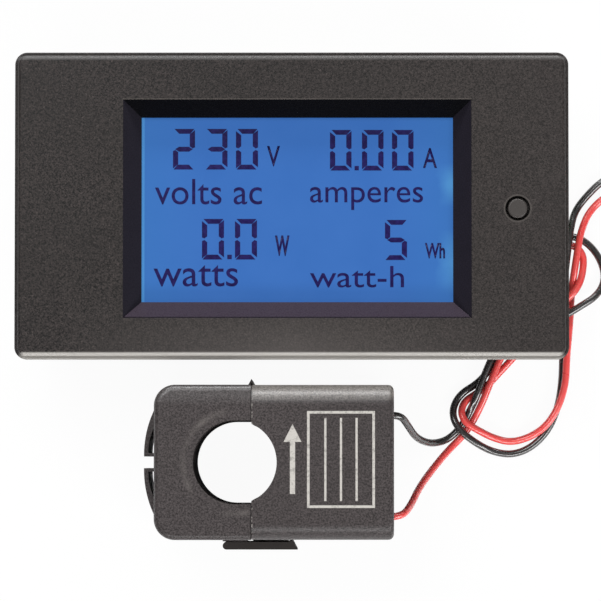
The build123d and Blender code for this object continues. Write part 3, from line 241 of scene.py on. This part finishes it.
class Shader:
    """The node tree of a material or of the world, written from its inputs to its output."""

    def __init__(self, name, world=False):
        self.owner = (bpy.data.worlds if world else bpy.data.materials).new(name)
        self.owner.use_nodes = True
        self.output = "ShaderNodeOutputWorld" if world else "ShaderNodeOutputMaterial"
        self.tree = self.owner.node_tree
        self.tree.nodes.clear()
        self.place = None

    def node(self, kind, props=None, **sockets):
        """A new node. An underscore in a socket's name stands for a space."""
        made = self.tree.nodes.new(kind)
        for key, value in (props or {}).items():
            setattr(made, key, value)
        for key, value in sockets.items():
            self.put(made, key.replace("_", " "), value)
        return made

    def put(self, node, socket, value):
        """Link another node's output to a socket, found by name or number, or set its value."""
        found = node.inputs[int(socket)] if str(socket).isdigit() else node.inputs[socket]
        if isinstance(value, bpy.types.NodeSocket):
            self.tree.links.new(value, found)
        else:
            found.default_value = value

    def position(self):
        if self.place is None:
            self.place = self.node("ShaderNodeTexCoord").outputs["Object"]
        return self.place

    def noise(self, scale, detail=2.0, roughness=0.5):
        made = self.node("ShaderNodeTexNoise", Vector=self.position(), Scale=scale)
        self.put(made, "Detail", detail)
        self.put(made, "Roughness", roughness)
        return made.outputs["Fac"]

    def span(self, value, low, high, to_low=0.0, to_high=1.0):
        """The value moved from one range to another, and kept inside it."""
        made = self.node("ShaderNodeMapRange", {"clamp": True}, Value=value)
        self.put(made, "From Min", low)
        self.put(made, "From Max", high)
        self.put(made, "To Min", to_low)
        self.put(made, "To Max", to_high)
        return made.outputs["Result"]

    def ramp(self, place, start, end, to_start=0.0, to_end=1.0):
        """A change between two places given in millimetres."""
        return self.span(place, start * MM, end * MM, to_start, to_end)

    def sum(self, operation, *values):
        made = self.node("ShaderNodeMath", {"operation": operation})
        for i, value in enumerate(values):
            self.put(made, i, value)
        return made.outputs["Value"]

    def times(self, a, b):
        return self.sum("MULTIPLY", a, b)

    def mix(self, share, low, high):
        """Two colours mixed by a share."""
        made = self.node("ShaderNodeMix", {"data_type": "RGBA"})
        for key, value in ((0, share), (6, low), (7, high)):
            self.put(made, key, value)
        return made.outputs[2]

    def mix_surfaces(self, share, low, high):
        made = self.node("ShaderNodeMixShader")
        for key, value in enumerate((share, low, high)):
            self.put(made, key, value)
        return made.outputs[0]

    def camera_ray(self):
        """One for what the camera sees itself, nothing for light and mirrored views."""
        return self.node("ShaderNodeLightPath").outputs["Is Camera Ray"]

    def axes(self, vector=None):
        made = self.node("ShaderNodeSeparateXYZ", Vector=vector or self.position())
        return made.outputs["X"], made.outputs["Y"], made.outputs["Z"]

    def bump(self, height, strength, distance):
        made = self.node("ShaderNodeBump", Strength=strength, Distance=distance, Height=height)
        return made.outputs["Normal"]

    def surface(self, color, roughness, normal=None, **more):
        made = self.node("ShaderNodeBsdfPrincipled", Roughness=roughness, **more)
        self.put(made, "Base Color", color)
        if normal is not None:
            self.put(made, "Normal", normal)
        return made.outputs["BSDF"]

    def done(self, surface):
        self.put(self.node(self.output), "Surface", surface)
        return self.owner


def inside(s, value, middle, half, edge):
    """One within half of the middle, falling to nothing over a soft edge."""
    away = s.sum("ABSOLUTE", s.sum("SUBTRACT", value, middle * MM))
    return s.ramp(away, half - edge, half + edge, 1.0, 0.0)


def patch(s, x, y, middle, half, edge=0.03):
    """One inside a rectangle."""
    across = inside(s, x, middle[0], half[0], edge)
    return s.times(across, inside(s, y, middle[1], half[1], edge))


def ring(s, x, y, middle, radius, half, edge=0.06):
    """One on a ring of this radius round the middle."""
    across = s.sum("POWER", s.sum("SUBTRACT", x, middle[0] * MM), 2.0)
    along = s.sum("POWER", s.sum("SUBTRACT", y, middle[1] * MM), 2.0)
    return inside(s, s.sum("SQRT", s.sum("ADD", across, along)), radius, half, edge)


def plastic(name, color, dark=0.8, roughness=0.45, grain=2600.0, depth=0.25, specular=0.5):
    """Moulded plastic with slight shading, a fine grain and uneven gloss."""
    s = Shader(name)
    shade = s.mix(s.span(s.noise(90.0, 3.0), 0.35, 0.65), shaded(color, dark), color)
    fine = s.noise(grain, 3.0, 0.6)
    shade = s.mix(s.span(fine, 0.3, 0.7, 0.0, 0.35), shade, shaded(color, 1.25))
    rough = s.span(s.noise(300.0, 2.0), 0.3, 0.7, roughness * 0.88, roughness * 1.12)
    normal = s.bump(fine, depth, 0.00003)
    return s.done(s.surface(shade, rough, normal, Specular_IOR_Level=specular))


def metal(name, color, roughness=0.3):
    """Plated or plain metal with fine streaks and slight tarnish."""
    s = Shader(name)
    grain = 900.0
    tarnish_and_highlight = s.mix(s.span(s.noise(grain * 0.3, 3.0), 0.3, 0.7), shaded(color, 0.75), color)
    rough = s.span(s.noise(grain, 3.0), 0.3, 0.7, roughness * 0.7, roughness * 1.35)
    return s.done(s.surface(tarnish_and_highlight, rough, s.bump(s.noise(grain * 3), 0.12, 0.00001), Metallic=1.0))


def grained(s, color, contrast, specks, grain=4000.0):
    """A dark colour with the grain of a textured mould and a few lighter specks, and its height."""
    fine = s.noise(grain, 1.5, 0.6)
    low, high = shaded(color, 1 - contrast), shaded(color, 1 + 1.5 * contrast)
    shade = s.mix(s.span(fine, 0.34, 0.66), low, high)
    patches = s.span(s.noise(70.0, 3.0), 0.35, 0.65, 0.0, 0.3)
    shade = s.mix(patches, shade, shaded(color, 0.8))
    points = s.span(s.noise(2900.0, 1.0, 0.4), 0.62, 0.76, 0.0, specks)
    return s.mix(points, shade, shaded(color, 3.5)), fine


# Where the face changes, in millimetres: from and to
# Painted light: the face is made paler low in the middle and towards its right end
PAINTED_GLOW_Y, PAINTED_GLOW_X = (-14.0, -24.5), (0.0, 38.0)  # paler low in the middle
PAINTED_RIGHT_GLOW_X = (-10.0, 45.0)  # paler towards the right end
# Painted highlights: the lower edge's rounding and the ledge under it are made paler
LOW_ROUND_Y, LOW_ROUND_X = (-23.7, -24.0), (43.4, 44.3)  # rounding of the lower edge
HIGH_ROUND_Y, HIGH_ROUND_HALF = 24.0, 0.35  # rounding of the upper edge
LOW_LEDGE_Y = (-24.35, -24.5)
WINDOW_DOWN = (0.02, 0.04)  # the window's slopes begin this far under the face
LEFT_SLOPE_X = (-20.0, -21.0)
WALL_LEAN = (0.3, 0.4)  # Y of a slope's normal, from which it counts as upper or lower


def slope_color(s, x, y):
    """The polished slopes of the display's window, upper, lower, left and right, with painted
    reflections and painted shade.
    """
    lean = s.axes(s.node("ShaderNodeTexCoord").outputs["Normal"])[1]
    # Painted reflections and shade: each slope is coloured by the way it faces, the upper one near
    # black, the lower one lighter
    upper = s.span(lean, -WALL_LEAN[0], -WALL_LEAN[1])
    lower = s.span(lean, *WALL_LEAN)
    right_tone = s.mix(s.noise(500.0, 2.0), srgb(33, 31, 38), srgb(38, 35, 43))
    left_tone = s.mix(s.noise(500.0, 2.0), srgb(34, 32, 39), srgb(38, 36, 43))
    slope = s.mix(s.ramp(x, *LEFT_SLOPE_X), right_tone, left_tone)
    slope = s.mix(upper, slope, srgb(8, 8, 11))
    slope = s.mix(lower, slope, s.mix(s.noise(900.0), srgb(60, 52, 62), srgb(65, 57, 68)))
    # Painted shade: a dark line along the outer edge of the lower slope
    foot_mid = (RECESS_MID[0], RECESS_MID[1] - RECESS_HALF[1] + 0.12)
    painted_edge_shade = patch(s, x, y, foot_mid, (RECESS_HALF[0], 0.1), 0.05)
    return s.mix(s.times(painted_edge_shade, 0.8), slope, srgb(16, 14, 18))


def housing_material():
    """Grained case plastic, with painted highlights on its edges, painted light on its face, and
    painted reflections and shade on the slopes of the display's window.
    """
    s = Shader("meter_plastic")
    x, y, z = s.axes()
    aside = s.sum("ABSOLUTE", x)
    shade, fine = grained(s, srgb(34, 30, 29), 1.0, 0.9)
    # Painted light on the face, paler low in the middle and towards the right end
    painted_glow = s.times(s.ramp(y, *PAINTED_GLOW_Y), s.ramp(aside, *PAINTED_GLOW_X, 0.5, 0.0))
    shade = s.mix(painted_glow, shade, srgb(94, 89, 87))
    shade = s.mix(s.ramp(x, *PAINTED_RIGHT_GLOW_X, 0.0, 0.25), shade, srgb(66, 61, 59))
    # Painted highlight: a paler ring on the edge of the button's hole
    rim = ring(s, x, y, BUTTON_MID, BUTTON_RIM, 0.12)
    shade = s.mix(s.times(rim, 0.4), shade, srgb(96, 91, 87))
    # Painted highlight: a thin light line along the upper edge of the display's window
    lip_mid = (RECESS_MID[0], RECESS_MID[1] + RECESS_HALF[1] + 0.08)
    painted_lip_highlight = patch(s, x, y, lip_mid, (RECESS_HALF[0], 0.07), 0.05)
    shade = s.mix(s.times(painted_lip_highlight, 0.15), shade, srgb(150, 142, 134))

    window = patch(s, x, y, RECESS_MID, (RECESS_HALF[0] + 0.05, RECESS_HALF[1] + 0.05), 0.01)
    below = s.ramp(z, FACE_TOP - WINDOW_DOWN[0], FACE_TOP - WINDOW_DOWN[1])
    window = s.times(window, below)
    shade = s.mix(window, shade, slope_color(s, x, y))

    # Painted highlights on the lower edge's rounding and on the ledge under it; both roundings are
    # also glossier
    low_round = s.times(s.ramp(y, *LOW_ROUND_Y), s.ramp(aside, *LOW_ROUND_X, 1.0, 0.0))
    high_round = inside(s, y, HIGH_ROUND_Y, HIGH_ROUND_HALF, 0.12)
    shade = s.mix(s.times(low_round, 0.8), shade, srgb(190, 186, 180))
    shade = s.mix(s.times(s.ramp(y, *LOW_LEDGE_Y), 0.7), shade, srgb(118, 114, 109))

    rough = s.span(fine, 0.3, 0.7, 0.42, 0.56)
    rough = s.sum("SUBTRACT", rough, s.times(window, 0.2))
    gloss = s.sum("SUBTRACT", 0.3, s.times(window, 0.22))
    gloss = s.sum("ADD", gloss, s.times(s.sum("MAXIMUM", low_round, high_round), 0.6))
    return s.done(s.surface(shade, rough, s.bump(fine, 0.5, 0.00005), Specular_IOR_Level=gloss))


# Print on the transformer, placed by pixels of the picture, with its sizes in millimetres
PRINT_BOX = (ground_point(307, 411, CT_TOP_Z), ground_point(375, 508, CT_TOP_Z))
PRINT_LINE = 0.42
PRINT_INSET = 1.1  # from the box's ends to its rules
PRINT_RULES = (0.27, 0.5, 0.73)  # share of the box's width at which a rule stands
ARROW_X = ground_point(292.5, 460, CT_TOP_Z).x
ARROW_LOW = ground_point(292, 494, CT_TOP_Z).y
ARROW_TOP = ground_point(292, 424, CT_TOP_Z).y
ARROW_SHAFT = 0.42
ARROW_NECK = 0.6
ARROW_HEAD = (2.9, 2.85)

# Where the transformer's plastic changes, in millimetres
CT_HIGHLIGHT_Y = (-31.8, -30.4)
CT_GLOSS_Y = (-32.5, -30.8)
CT_HIGHLIGHT_RING = (8.3, 0.4, 0.35)  # radius, half width and soft edge


def print_marks(s, x, y):
    """An arrow and an empty ruled box to write in."""
    left, top = PRINT_BOX[0].xy
    right, low = PRINT_BOX[1].xy
    middle = ((left + right) / 2, (top + low) / 2)
    half = ((right - left) / 2, (top - low) / 2)
    within = (half[0] - PRINT_LINE, half[1] - PRINT_LINE)
    marks = s.sum("SUBTRACT", patch(s, x, y, middle, half), patch(s, x, y, middle, within))
    for share in PRINT_RULES:
        rule_mid = (left + (right - left) * share, middle[1])
        rule = patch(s, x, y, rule_mid, (PRINT_LINE / 2.4, half[1] - PRINT_INSET))
        marks = s.sum("MAXIMUM", marks, rule)
    shaft_mid = (ARROW_X, (ARROW_LOW + ARROW_TOP) / 2 - ARROW_NECK)
    shaft_half = (ARROW_SHAFT, (ARROW_TOP - ARROW_LOW) / 2 - ARROW_NECK)
    marks = s.sum("MAXIMUM", marks, patch(s, x, y, shaft_mid, shaft_half))
    reach = s.sum("SUBTRACT", ARROW_TOP * MM, y)
    beside = s.sum("ABSOLUTE", s.sum("SUBTRACT", x, ARROW_X * MM))
    head = s.ramp(s.sum("SUBTRACT", s.times(reach, 0.5), beside), -0.02, 0.02)
    return s.sum("MAXIMUM", marks, s.times(head, s.ramp(reach, *ARROW_HEAD)))


def transformer_material():
    """Grained plastic with painted highlights on a ring round the hole and on the body's upper
    rounding, a rough seam and whitish print.
    """
    s = Shader("ct_plastic")
    x, y, z = s.axes()
    shade, fine = grained(s, srgb(60, 55, 55), 0.5, 0.15, grain=3600.0)
    # Painted highlight along the rounded upper edge of the body, broken up by the grain
    rounding = s.times(s.ramp(y, *CT_HIGHLIGHT_Y), s.ramp(x, CT_SPLIT_X, CT_SPLIT_X + 0.3))
    rounding = s.times(rounding, s.span(fine, 0.3, 0.7, 0.15, 0.75))
    shade = s.mix(rounding, shade, srgb(158, 153, 147))
    # Painted highlight: a faint paler ring round the hole, on the cap only, where a soft ridge
    # would catch the light
    tarnish_and_highlight = s.times(ring(s, x, y, CT_HOLE, *CT_HIGHLIGHT_RING), s.span(s.noise(160.0), 0.4, 0.6))
    tarnish_and_highlight = s.times(tarnish_and_highlight, s.ramp(x, CT_SPLIT_X, CT_SPLIT_X - 1.0))
    shade = s.mix(s.times(tarnish_and_highlight, 0.3), shade, srgb(128, 122, 118))
    shade = s.mix(inside(s, x, CT_SPLIT_X - 0.02, 0.03, 0.05), shade, srgb(24, 22, 24))
    rubbed = s.span(s.noise(1900.0, 2.0), 0.48, 0.62)
    seam = s.times(inside(s, x, CT_SPLIT_X + 0.14, 0.06, 0.08), rubbed)
    shade = s.mix(s.times(seam, 0.75), shade, srgb(180, 174, 168))
    on_top = s.ramp(z, CT_TOP_Z - 0.1, CT_TOP_Z - 0.05)
    faded = s.span(s.noise(1500.0, 3.0, 0.7), 0.3, 0.5, 0.45, 0.95)
    marks = s.times(s.times(print_marks(s, x, y), on_top), faded)
    shade = s.mix(marks, shade, srgb(196, 192, 186))
    rough = s.span(fine, 0.3, 0.7, 0.34, 0.46)
    gloss = s.ramp(y, *CT_GLOSS_Y, 0.35, 1.0)
    return s.done(s.surface(shade, rough, s.bump(fine, 0.6, 0.00006), Specular_IOR_Level=gloss))


# Where the lit panel changes, in millimetres
PANEL_SIDES = (15.0, 26.0)  # from its middle
PANEL_LEFT_X = (-24.1, -23.9)
PANEL_RIGHT_X = (25.5, 28.5)
PANEL_SPOTS = ((3.6, 2.0, 1.6), (-9.0, 3.0, 2.4))  # middle, half height and soft edge


def display_material():
    """The lit blue panel behind the display's glass, lighter at its left and right edges."""
    s = Shader("display_glass")
    x, y, _ = s.axes()
    shade = s.mix(s.span(s.noise(110.0, 2.0), 0.3, 0.7), srgb(57, 107, 181), srgb(61, 111, 185))
    aside = s.sum("ABSOLUTE", s.sum("SUBTRACT", x, RECESS_MID[0] * MM))
    shade = s.mix(s.ramp(aside, *PANEL_SIDES, 0.0, 0.7), shade, srgb(60, 116, 186))
    band = s.ramp(x, *PANEL_LEFT_X, 1.0, 0.0)
    shade = s.mix(s.times(band, 0.85), shade, srgb(80, 148, 212))
    waver = s.times(s.noise(220.0, 3.0), 0.004)
    far = s.ramp(s.sum("ADD", x, waver), *PANEL_RIGHT_X)
    spots = s.sum("MAXIMUM", *(inside(s, y, *spot) for spot in PANEL_SPOTS))
    shade = s.mix(s.times(far, spots), shade, srgb(82, 148, 206))
    rough = s.span(s.noise(900.0), 0.3, 0.7, 0.1, 0.16)
    return s.done(s.surface(
        s.mix(0.65, shade, (0, 0, 0, 1)), rough,
        Specular_IOR_Level=0.2, Emission_Color=shade, Emission_Strength=0.65,
    ))


def segment_material():
    """The dark blue of the display's figures and words."""
    s = Shader("display_segments")
    shade = s.mix(s.span(s.noise(1500.0, 3.0), 0.35, 0.65), srgb(22, 14, 66), srgb(32, 25, 84))
    rough = s.span(s.noise(700.0), 0.3, 0.7, 0.3, 0.4)
    return s.done(s.surface(shade, rough, Specular_IOR_Level=0.15))


def board_material():
    """Green solder mask over copper tracks."""
    s = Shader("board_mask")
    bricks = s.node("ShaderNodeTexBrick", {"offset": 0.37}, Vector=s.position(), Scale=260.0)
    s.put(bricks, "Mortar Size", 0.035)
    tracks = bricks.outputs["Fac"]
    shade = s.mix(tracks, srgb(22, 84, 46), srgb(40, 116, 64))
    shade = s.mix(s.span(s.noise(400.0, 3.0), 0.3, 0.7, 0.0, 0.4), shade, srgb(18, 70, 40))
    return s.done(s.surface(shade, 0.28, s.bump(tracks, 0.3, 0.00004), Coat_Weight=0.3))


def insulation(name, dark, light, gloss, rough):
    """Soft plastic insulation with a smooth skin."""
    s = Shader(name)
    shade = s.mix(s.span(s.noise(420.0, 3.0), 0.32, 0.68), dark, light)
    normal = s.bump(s.noise(2600.0, 2.0), 0.04, 0.00002)
    rough = s.span(s.noise(800.0), 0.3, 0.7, rough * 0.85, rough * 1.2)
    return s.done(s.surface(
        shade, rough, normal, Specular_IOR_Level=gloss, Coat_Weight=1.0, Coat_Roughness=0.2,
    ))


MATERIALS = {
    "housing": housing_material(),
    "cover": plastic("cover_plastic", srgb(48, 45, 43)),
    "clip": plastic("clip_plastic", srgb(50, 47, 45)),
    "button": plastic("button_plastic", srgb(65, 61, 59), roughness=0.4, specular=0.4),
    "switch_plunger": plastic("plunger_plastic", srgb(180, 60, 40)),
    "switch_body": plastic("switch_plastic", srgb(40, 40, 42)),
    "display_glass": display_material(),
    "display_rear_glass": plastic("rear_glass", srgb(150, 170, 190), roughness=0.15, depth=0.0),
    "tinned_metal": metal("tinned_metal", srgb(196, 196, 192)),
    "white_plastic": plastic("white_plastic", srgb(226, 224, 214), dark=0.93),
    "light_guide": plastic("light_guide", srgb(214, 226, 236), dark=0.95, roughness=0.2),
    "led": plastic("led_body", srgb(235, 232, 200), dark=0.9),
    "board": board_material(),
    "zinc_steel": metal("zinc_steel", srgb(190, 192, 196)),
    "terminal_plastic": plastic("terminal_plastic", srgb(44, 110, 62)),
    "brass": metal("brass", srgb(206, 170, 96)),
    "nickel_brass": metal("nickel_brass", srgb(198, 192, 178)),
    "box_capacitor": plastic("box_capacitor", srgb(184, 150, 52)),
    "can_capacitor": plastic("can_sleeve", srgb(34, 40, 58), roughness=0.3),
    "varistor": plastic("varistor_coat", srgb(36, 92, 150), roughness=0.4),
    "resistor_body": plastic("resistor_body", srgb(86, 130, 122)),
    "diode_body": plastic("diode_body", srgb(34, 34, 36)),
    "chip": plastic("chip_epoxy", srgb(38, 38, 40)),
    "crystal_can": metal("crystal_can", srgb(200, 200, 200), roughness=0.25),
    "chip_resistor": plastic("chip_resistor", srgb(30, 30, 34)),
    "chip_capacitor": plastic("chip_capacitor", srgb(168, 136, 100)),
    "ct_plastic": transformer_material(),
    "ct_cover": plastic("ct_cover_plastic", srgb(46, 43, 42)),
    "ct_latch": plastic("ct_latch_plastic", srgb(57, 53, 51), specular=0.35),
    "ferrite": plastic("ferrite", srgb(60, 60, 64), grain=4000.0, depth=0.5),
    "winding": metal("enamelled_wire", srgb(170, 84, 44)),
    "red_insulation": insulation(
        "red_insulation", srgb(252, 78, 76), srgb(255, 92, 88), gloss=0.8, rough=0.3,
    ),
    "black_insulation": insulation(
        "black_insulation", srgb(38, 35, 35), srgb(50, 46, 45), gloss=1.0, rough=0.26,
    ),
}
for node in nodes.values():
    for place in node.material_slots:
        place.material = MATERIALS[place.material.name.split(".")[0]]
for piece, slot in leads:
    piece.data.materials.append(MATERIALS[slot])

# What the display shows: plain numbers, units and generic words, placed by pixels of the picture
SEGMENT_Z = GLASS_TOP + 0.015
SEGMENT_T = 0.03
BAR_PX = 5.2  # width of an upright bar
FLAT_SHARE = 0.92  # width of a level bar, as a share of it
SPLIT_PX = 0.55  # between two bars
STEP_PX, SLANT_PX = 1.0, 1.5  # by which the slant of the figures moves a bar's corners
CORNER_PX = 0.6  # cut off a bar's outer corner
TIP_PX, NOSE_PX, POINT_PX = 1.8, 2.4, 2.2  # pointed ends at the figure's middle line
EASE_PX = 0.8
LIT = {"0": "abcdef", "2": "abged", "3": "abgcd", "5": "afgcd"}

# Each figure's left, upper, right and lower edge, and the same for the points between them
READINGS = [
    ("2", 173, 129, 195, 169.5), ("3", 205.5, 129, 227.5, 169.5), ("0", 236, 129, 258, 169.5),
    ("0", 330, 130, 351.5, 170.5), ("0", 362, 130, 383.5, 170.5), ("0", 392, 130, 413.5, 170.5),
    ("0", 202, 219, 224, 259.5), ("0", 235, 219, 257, 259.5), ("5", 385, 220, 407, 260),
]
DOTS = [(354.6, 166, 358.8, 170.3), (227.3, 254.8, 231.8, 259.2)]

# Each word's edges in the same order, and how much its letters are thickened
WORDS = [
    ("volts ac", 155, 179, 262, 204.5), ("amperes", 310, 187, 423, 210),
    ("watts", 153.5, 265, 238, 286.5), ("watt-h", 310, 266, 404, 287.5),
    ("V", 267, 146, 280, 166.5, 0.01), ("A", 423, 148, 437, 168, 0.008),
    ("W", 275, 235.5, 289.5, 256, 0.035), ("Wh", 425, 243, 445, 258.5, 0.025),
]


def slab(name, outlines):
    """Thin flat shapes on the glass, from outlines given in pixels of the picture."""
    verts, faces = [], []
    for outline in outlines:
        places = [ground_point(px, py, SEGMENT_Z) for px, py in outline]
        first = len(verts)
        n = len(places)
        for height in (SEGMENT_Z, SEGMENT_Z + SEGMENT_T):
            verts += [(p.x, p.y, height) for p in places]
        faces.append(tuple(first + i for i in range(n)))
        faces.append(tuple(first + n + i for i in reversed(range(n))))
        for i in range(n):
            j = (i + 1) % n
            faces.append((first + i, first + n + i, first + n + j, first + j))
    return new_mesh(name, verts, faces)


def digit_outlines(figure, x0, y0, x1, y1):
    """The lit segments of one figure, each with slanted ends, in pixels."""
    gap, mid = SPLIT_PX, (y0 + y1) / 2
    flat = BAR_PX * FLAT_SHARE
    left, right = x0 + BAR_PX, x1 - BAR_PX
    top, low = y0 + flat, y1 - flat
    over, under = mid - flat / 2, mid + flat / 2
    long_corner = CORNER_PX + STEP_PX
    shapes = {
        "a": [(x0 + gap + STEP_PX, y0), (x1 - gap, y0), (right + gap, top),
              (left - gap + SLANT_PX, top)],
        "d": [(x0 + gap, y1), (x1 - gap - STEP_PX, y1), (right + gap - SLANT_PX, low),
              (left - gap, low)],
        "g": [(x0 + POINT_PX, mid), (left + EASE_PX, over), (right - EASE_PX, over),
              (x1 - POINT_PX, mid), (right - EASE_PX, under), (left + EASE_PX, under)],
        "b": [(x1, y0 + gap + CORNER_PX), (x1, mid - TIP_PX), (x1 - NOSE_PX, mid - EASE_PX),
              (right, over - gap), (right, top + gap)],
        "c": [(x1, y1 - gap - long_corner), (x1, mid + TIP_PX), (x1 - NOSE_PX, mid + EASE_PX),
              (right, under + gap), (right, low - gap - STEP_PX)],
        "f": [(x0, y0 + gap + long_corner), (x0, mid - TIP_PX), (x0 + NOSE_PX, mid - EASE_PX),
              (left, over - gap), (left, top + gap + STEP_PX)],
        "e": [(x0, y1 - gap - CORNER_PX), (x0, mid + TIP_PX), (x0 + NOSE_PX, mid + EASE_PX),
              (left, under + gap), (left, low - gap)],
    }
    return [shapes[k] for k in LIT[figure]]


def word_mesh(name, text, x0, y0, x1, y1, weight=0.0):
    """A word in plain letters, fitted to a box given in pixels."""
    curve = bpy.data.curves.new(name, "FONT")
    curve.body = text
    curve.resolution_u = 6
    curve.offset = weight
    flat = mesh_of(name, curve)
    shape = bmesh.new()
    shape.from_mesh(flat)
    bpy.data.meshes.remove(flat)
    low = [min(v.co[k] for v in shape.verts) for k in (0, 1)]
    high = [max(v.co[k] for v in shape.verts) for k in (0, 1)]
    corner, far = ground_point(x0, y1, SEGMENT_Z), ground_point(x1, y0, SEGMENT_Z)
    lifted = bmesh.ops.extrude_face_region(shape, geom=shape.faces[:])["geom"]
    raised = {v for v in lifted if isinstance(v, bmesh.types.BMVert)}
    for v in shape.verts:
        place = []
        for k in (0, 1):
            share = (v.co[k] - low[k]) / (high[k] - low[k])
            place.append(corner[k] + share * (far[k] - corner[k]))
        place.append(SEGMENT_Z + (SEGMENT_T if v in raised else 0.0))
        v.co = Vector(place) * MM
    data = bpy.data.meshes.new(name)
    shape.to_mesh(data)
    shape.free()
    return added(name, data)


outlines = [shape for reading in READINGS for shape in digit_outlines(*reading)]
outlines += [[(a, b), (c, b), (c, d), (a, d)] for a, b, c, d in DOTS]
pieces = [slab("display_figures", outlines)]
pieces += [word_mesh("display_word_%d" % i, *word) for i, word in enumerate(WORDS)]
segments = segment_material()
for piece in pieces:
    piece.data.materials.append(segments)
    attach(piece, "meter")

# The film hinge between the transformer's halves, as a thin strip in rows
STRIP_LOW, STRIP_HIGH = 4.0, 23.0
STRIP_TOP_Y = -29.1
STRIP_RISE, STRIP_HALF, STRIP_T = 1.0, 0.55, 0.3
STRIP_STEPS, STRIP_ROWS = 12, 6


def hinge_film(name):
    """A thin strip with a peaked section, in rows that can bend."""
    outer, inner = [], []
    for i in range(STRIP_STEPS + 1):
        u = -1 + 2 * i / STRIP_STEPS
        lift = (1 - abs(u)) * STRIP_RISE
        outer.append((CT_SPLIT_X + u * STRIP_HALF, STRIP_TOP_Y + lift))
        lift = (1 - abs(u)) * (STRIP_RISE - 2 * STRIP_T)
        inner.append((CT_SPLIT_X + u * (STRIP_HALF - STRIP_T), STRIP_TOP_Y + lift))
    section = outer + inner[::-1]
    n = len(section)
    verts, faces = [], []
    for row in range(STRIP_ROWS + 1):
        height = STRIP_LOW + (STRIP_HIGH - STRIP_LOW) * row / STRIP_ROWS
        verts += [(px, py, height) for px, py in section]
    for row in range(STRIP_ROWS):
        for i in range(n):
            j = (i + 1) % n
            faces.append((row * n + i, row * n + j, (row + 1) * n + j, (row + 1) * n + i))
    for base, flip in ((0, True), (STRIP_ROWS * n, False)):
        for i in range(STRIP_STEPS):
            face = (base + i, base + i + 1, base + n - 2 - i, base + n - 1 - i)
            faces.append(face[::-1] if flip else face)
    return new_mesh(name, verts, faces)


film = hinge_film("hinge_film")
film.data.materials.append(MATERIALS["ct_latch"])
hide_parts("ct_hinge_strip")
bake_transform(film)

# Floor of white paper, which the camera sees nearly as white as the background
FLOOR_HALF = 1500
FLOOR_GLOW = 0.95
far = FLOOR_HALF
square = [(-far, -far, 0), (far, -far, 0), (far, far, 0), (-far, far, 0)]
floor = new_mesh("floor", square, [(0, 1, 2, 3)])
s = Shader("floor_paper")
white_paper = s.mix(s.noise(40.0), srgb(247, 247, 247), srgb(250, 250, 250))
paper = s.surface(white_paper, 0.9, Specular_IOR_Level=0.0)
glow = s.node("ShaderNodeEmission", Color=(1, 1, 1, 1), Strength=1.0).outputs[0]
bright = s.times(s.camera_ray(), FLOOR_GLOW)
floor.data.materials.append(s.done(s.mix_surfaces(bright, paper, glow)))

# White background for the camera, and a soft light from above for everything else
s = Shader("studio", world=True)
rise = s.axes(s.node("ShaderNodeTexCoord").outputs["Generated"])[2]
soft = s.node("ShaderNodeBackground", Strength=s.span(rise, 0.1, 0.9, 0.06, 0.24)).outputs[0]
white = s.node("ShaderNodeBackground", Color=(1, 1, 1, 1)).outputs[0]
bpy.context.scene.world = s.done(s.mix_surfaces(s.camera_ray(), soft, white))

# Softboxes: name, place, what it points at, size and power
for name, at, to, size, power in (
    ("key", (-0.22, 0.3, 0.7), (0, -0.01, 0.01), (0.42, 0.34), 2.5),
    ("rear", (0.0, 0.7, 0.3), (0, -0.01, 0.01), (0.9, 0.14), 5.5),
    ("front", (0.0, -0.6, 0.42), (0, -0.03, 0.01), (0.9, 0.12), 3.6),
    ("right", (0.5, -0.42, 0.42), (0.04, -0.03, 0.0), (0.3, 0.3), 2.0),
):
    light = bpy.data.lights.new(name, "AREA")
    light.shape = "RECTANGLE"
    light.size, light.size_y = size
    light.energy = power
    lamp = added(name, light)
    lamp.location = at
    lamp.rotation_euler = (Vector(to) - Vector(at)).to_track_quat("-Z", "Y").to_euler()
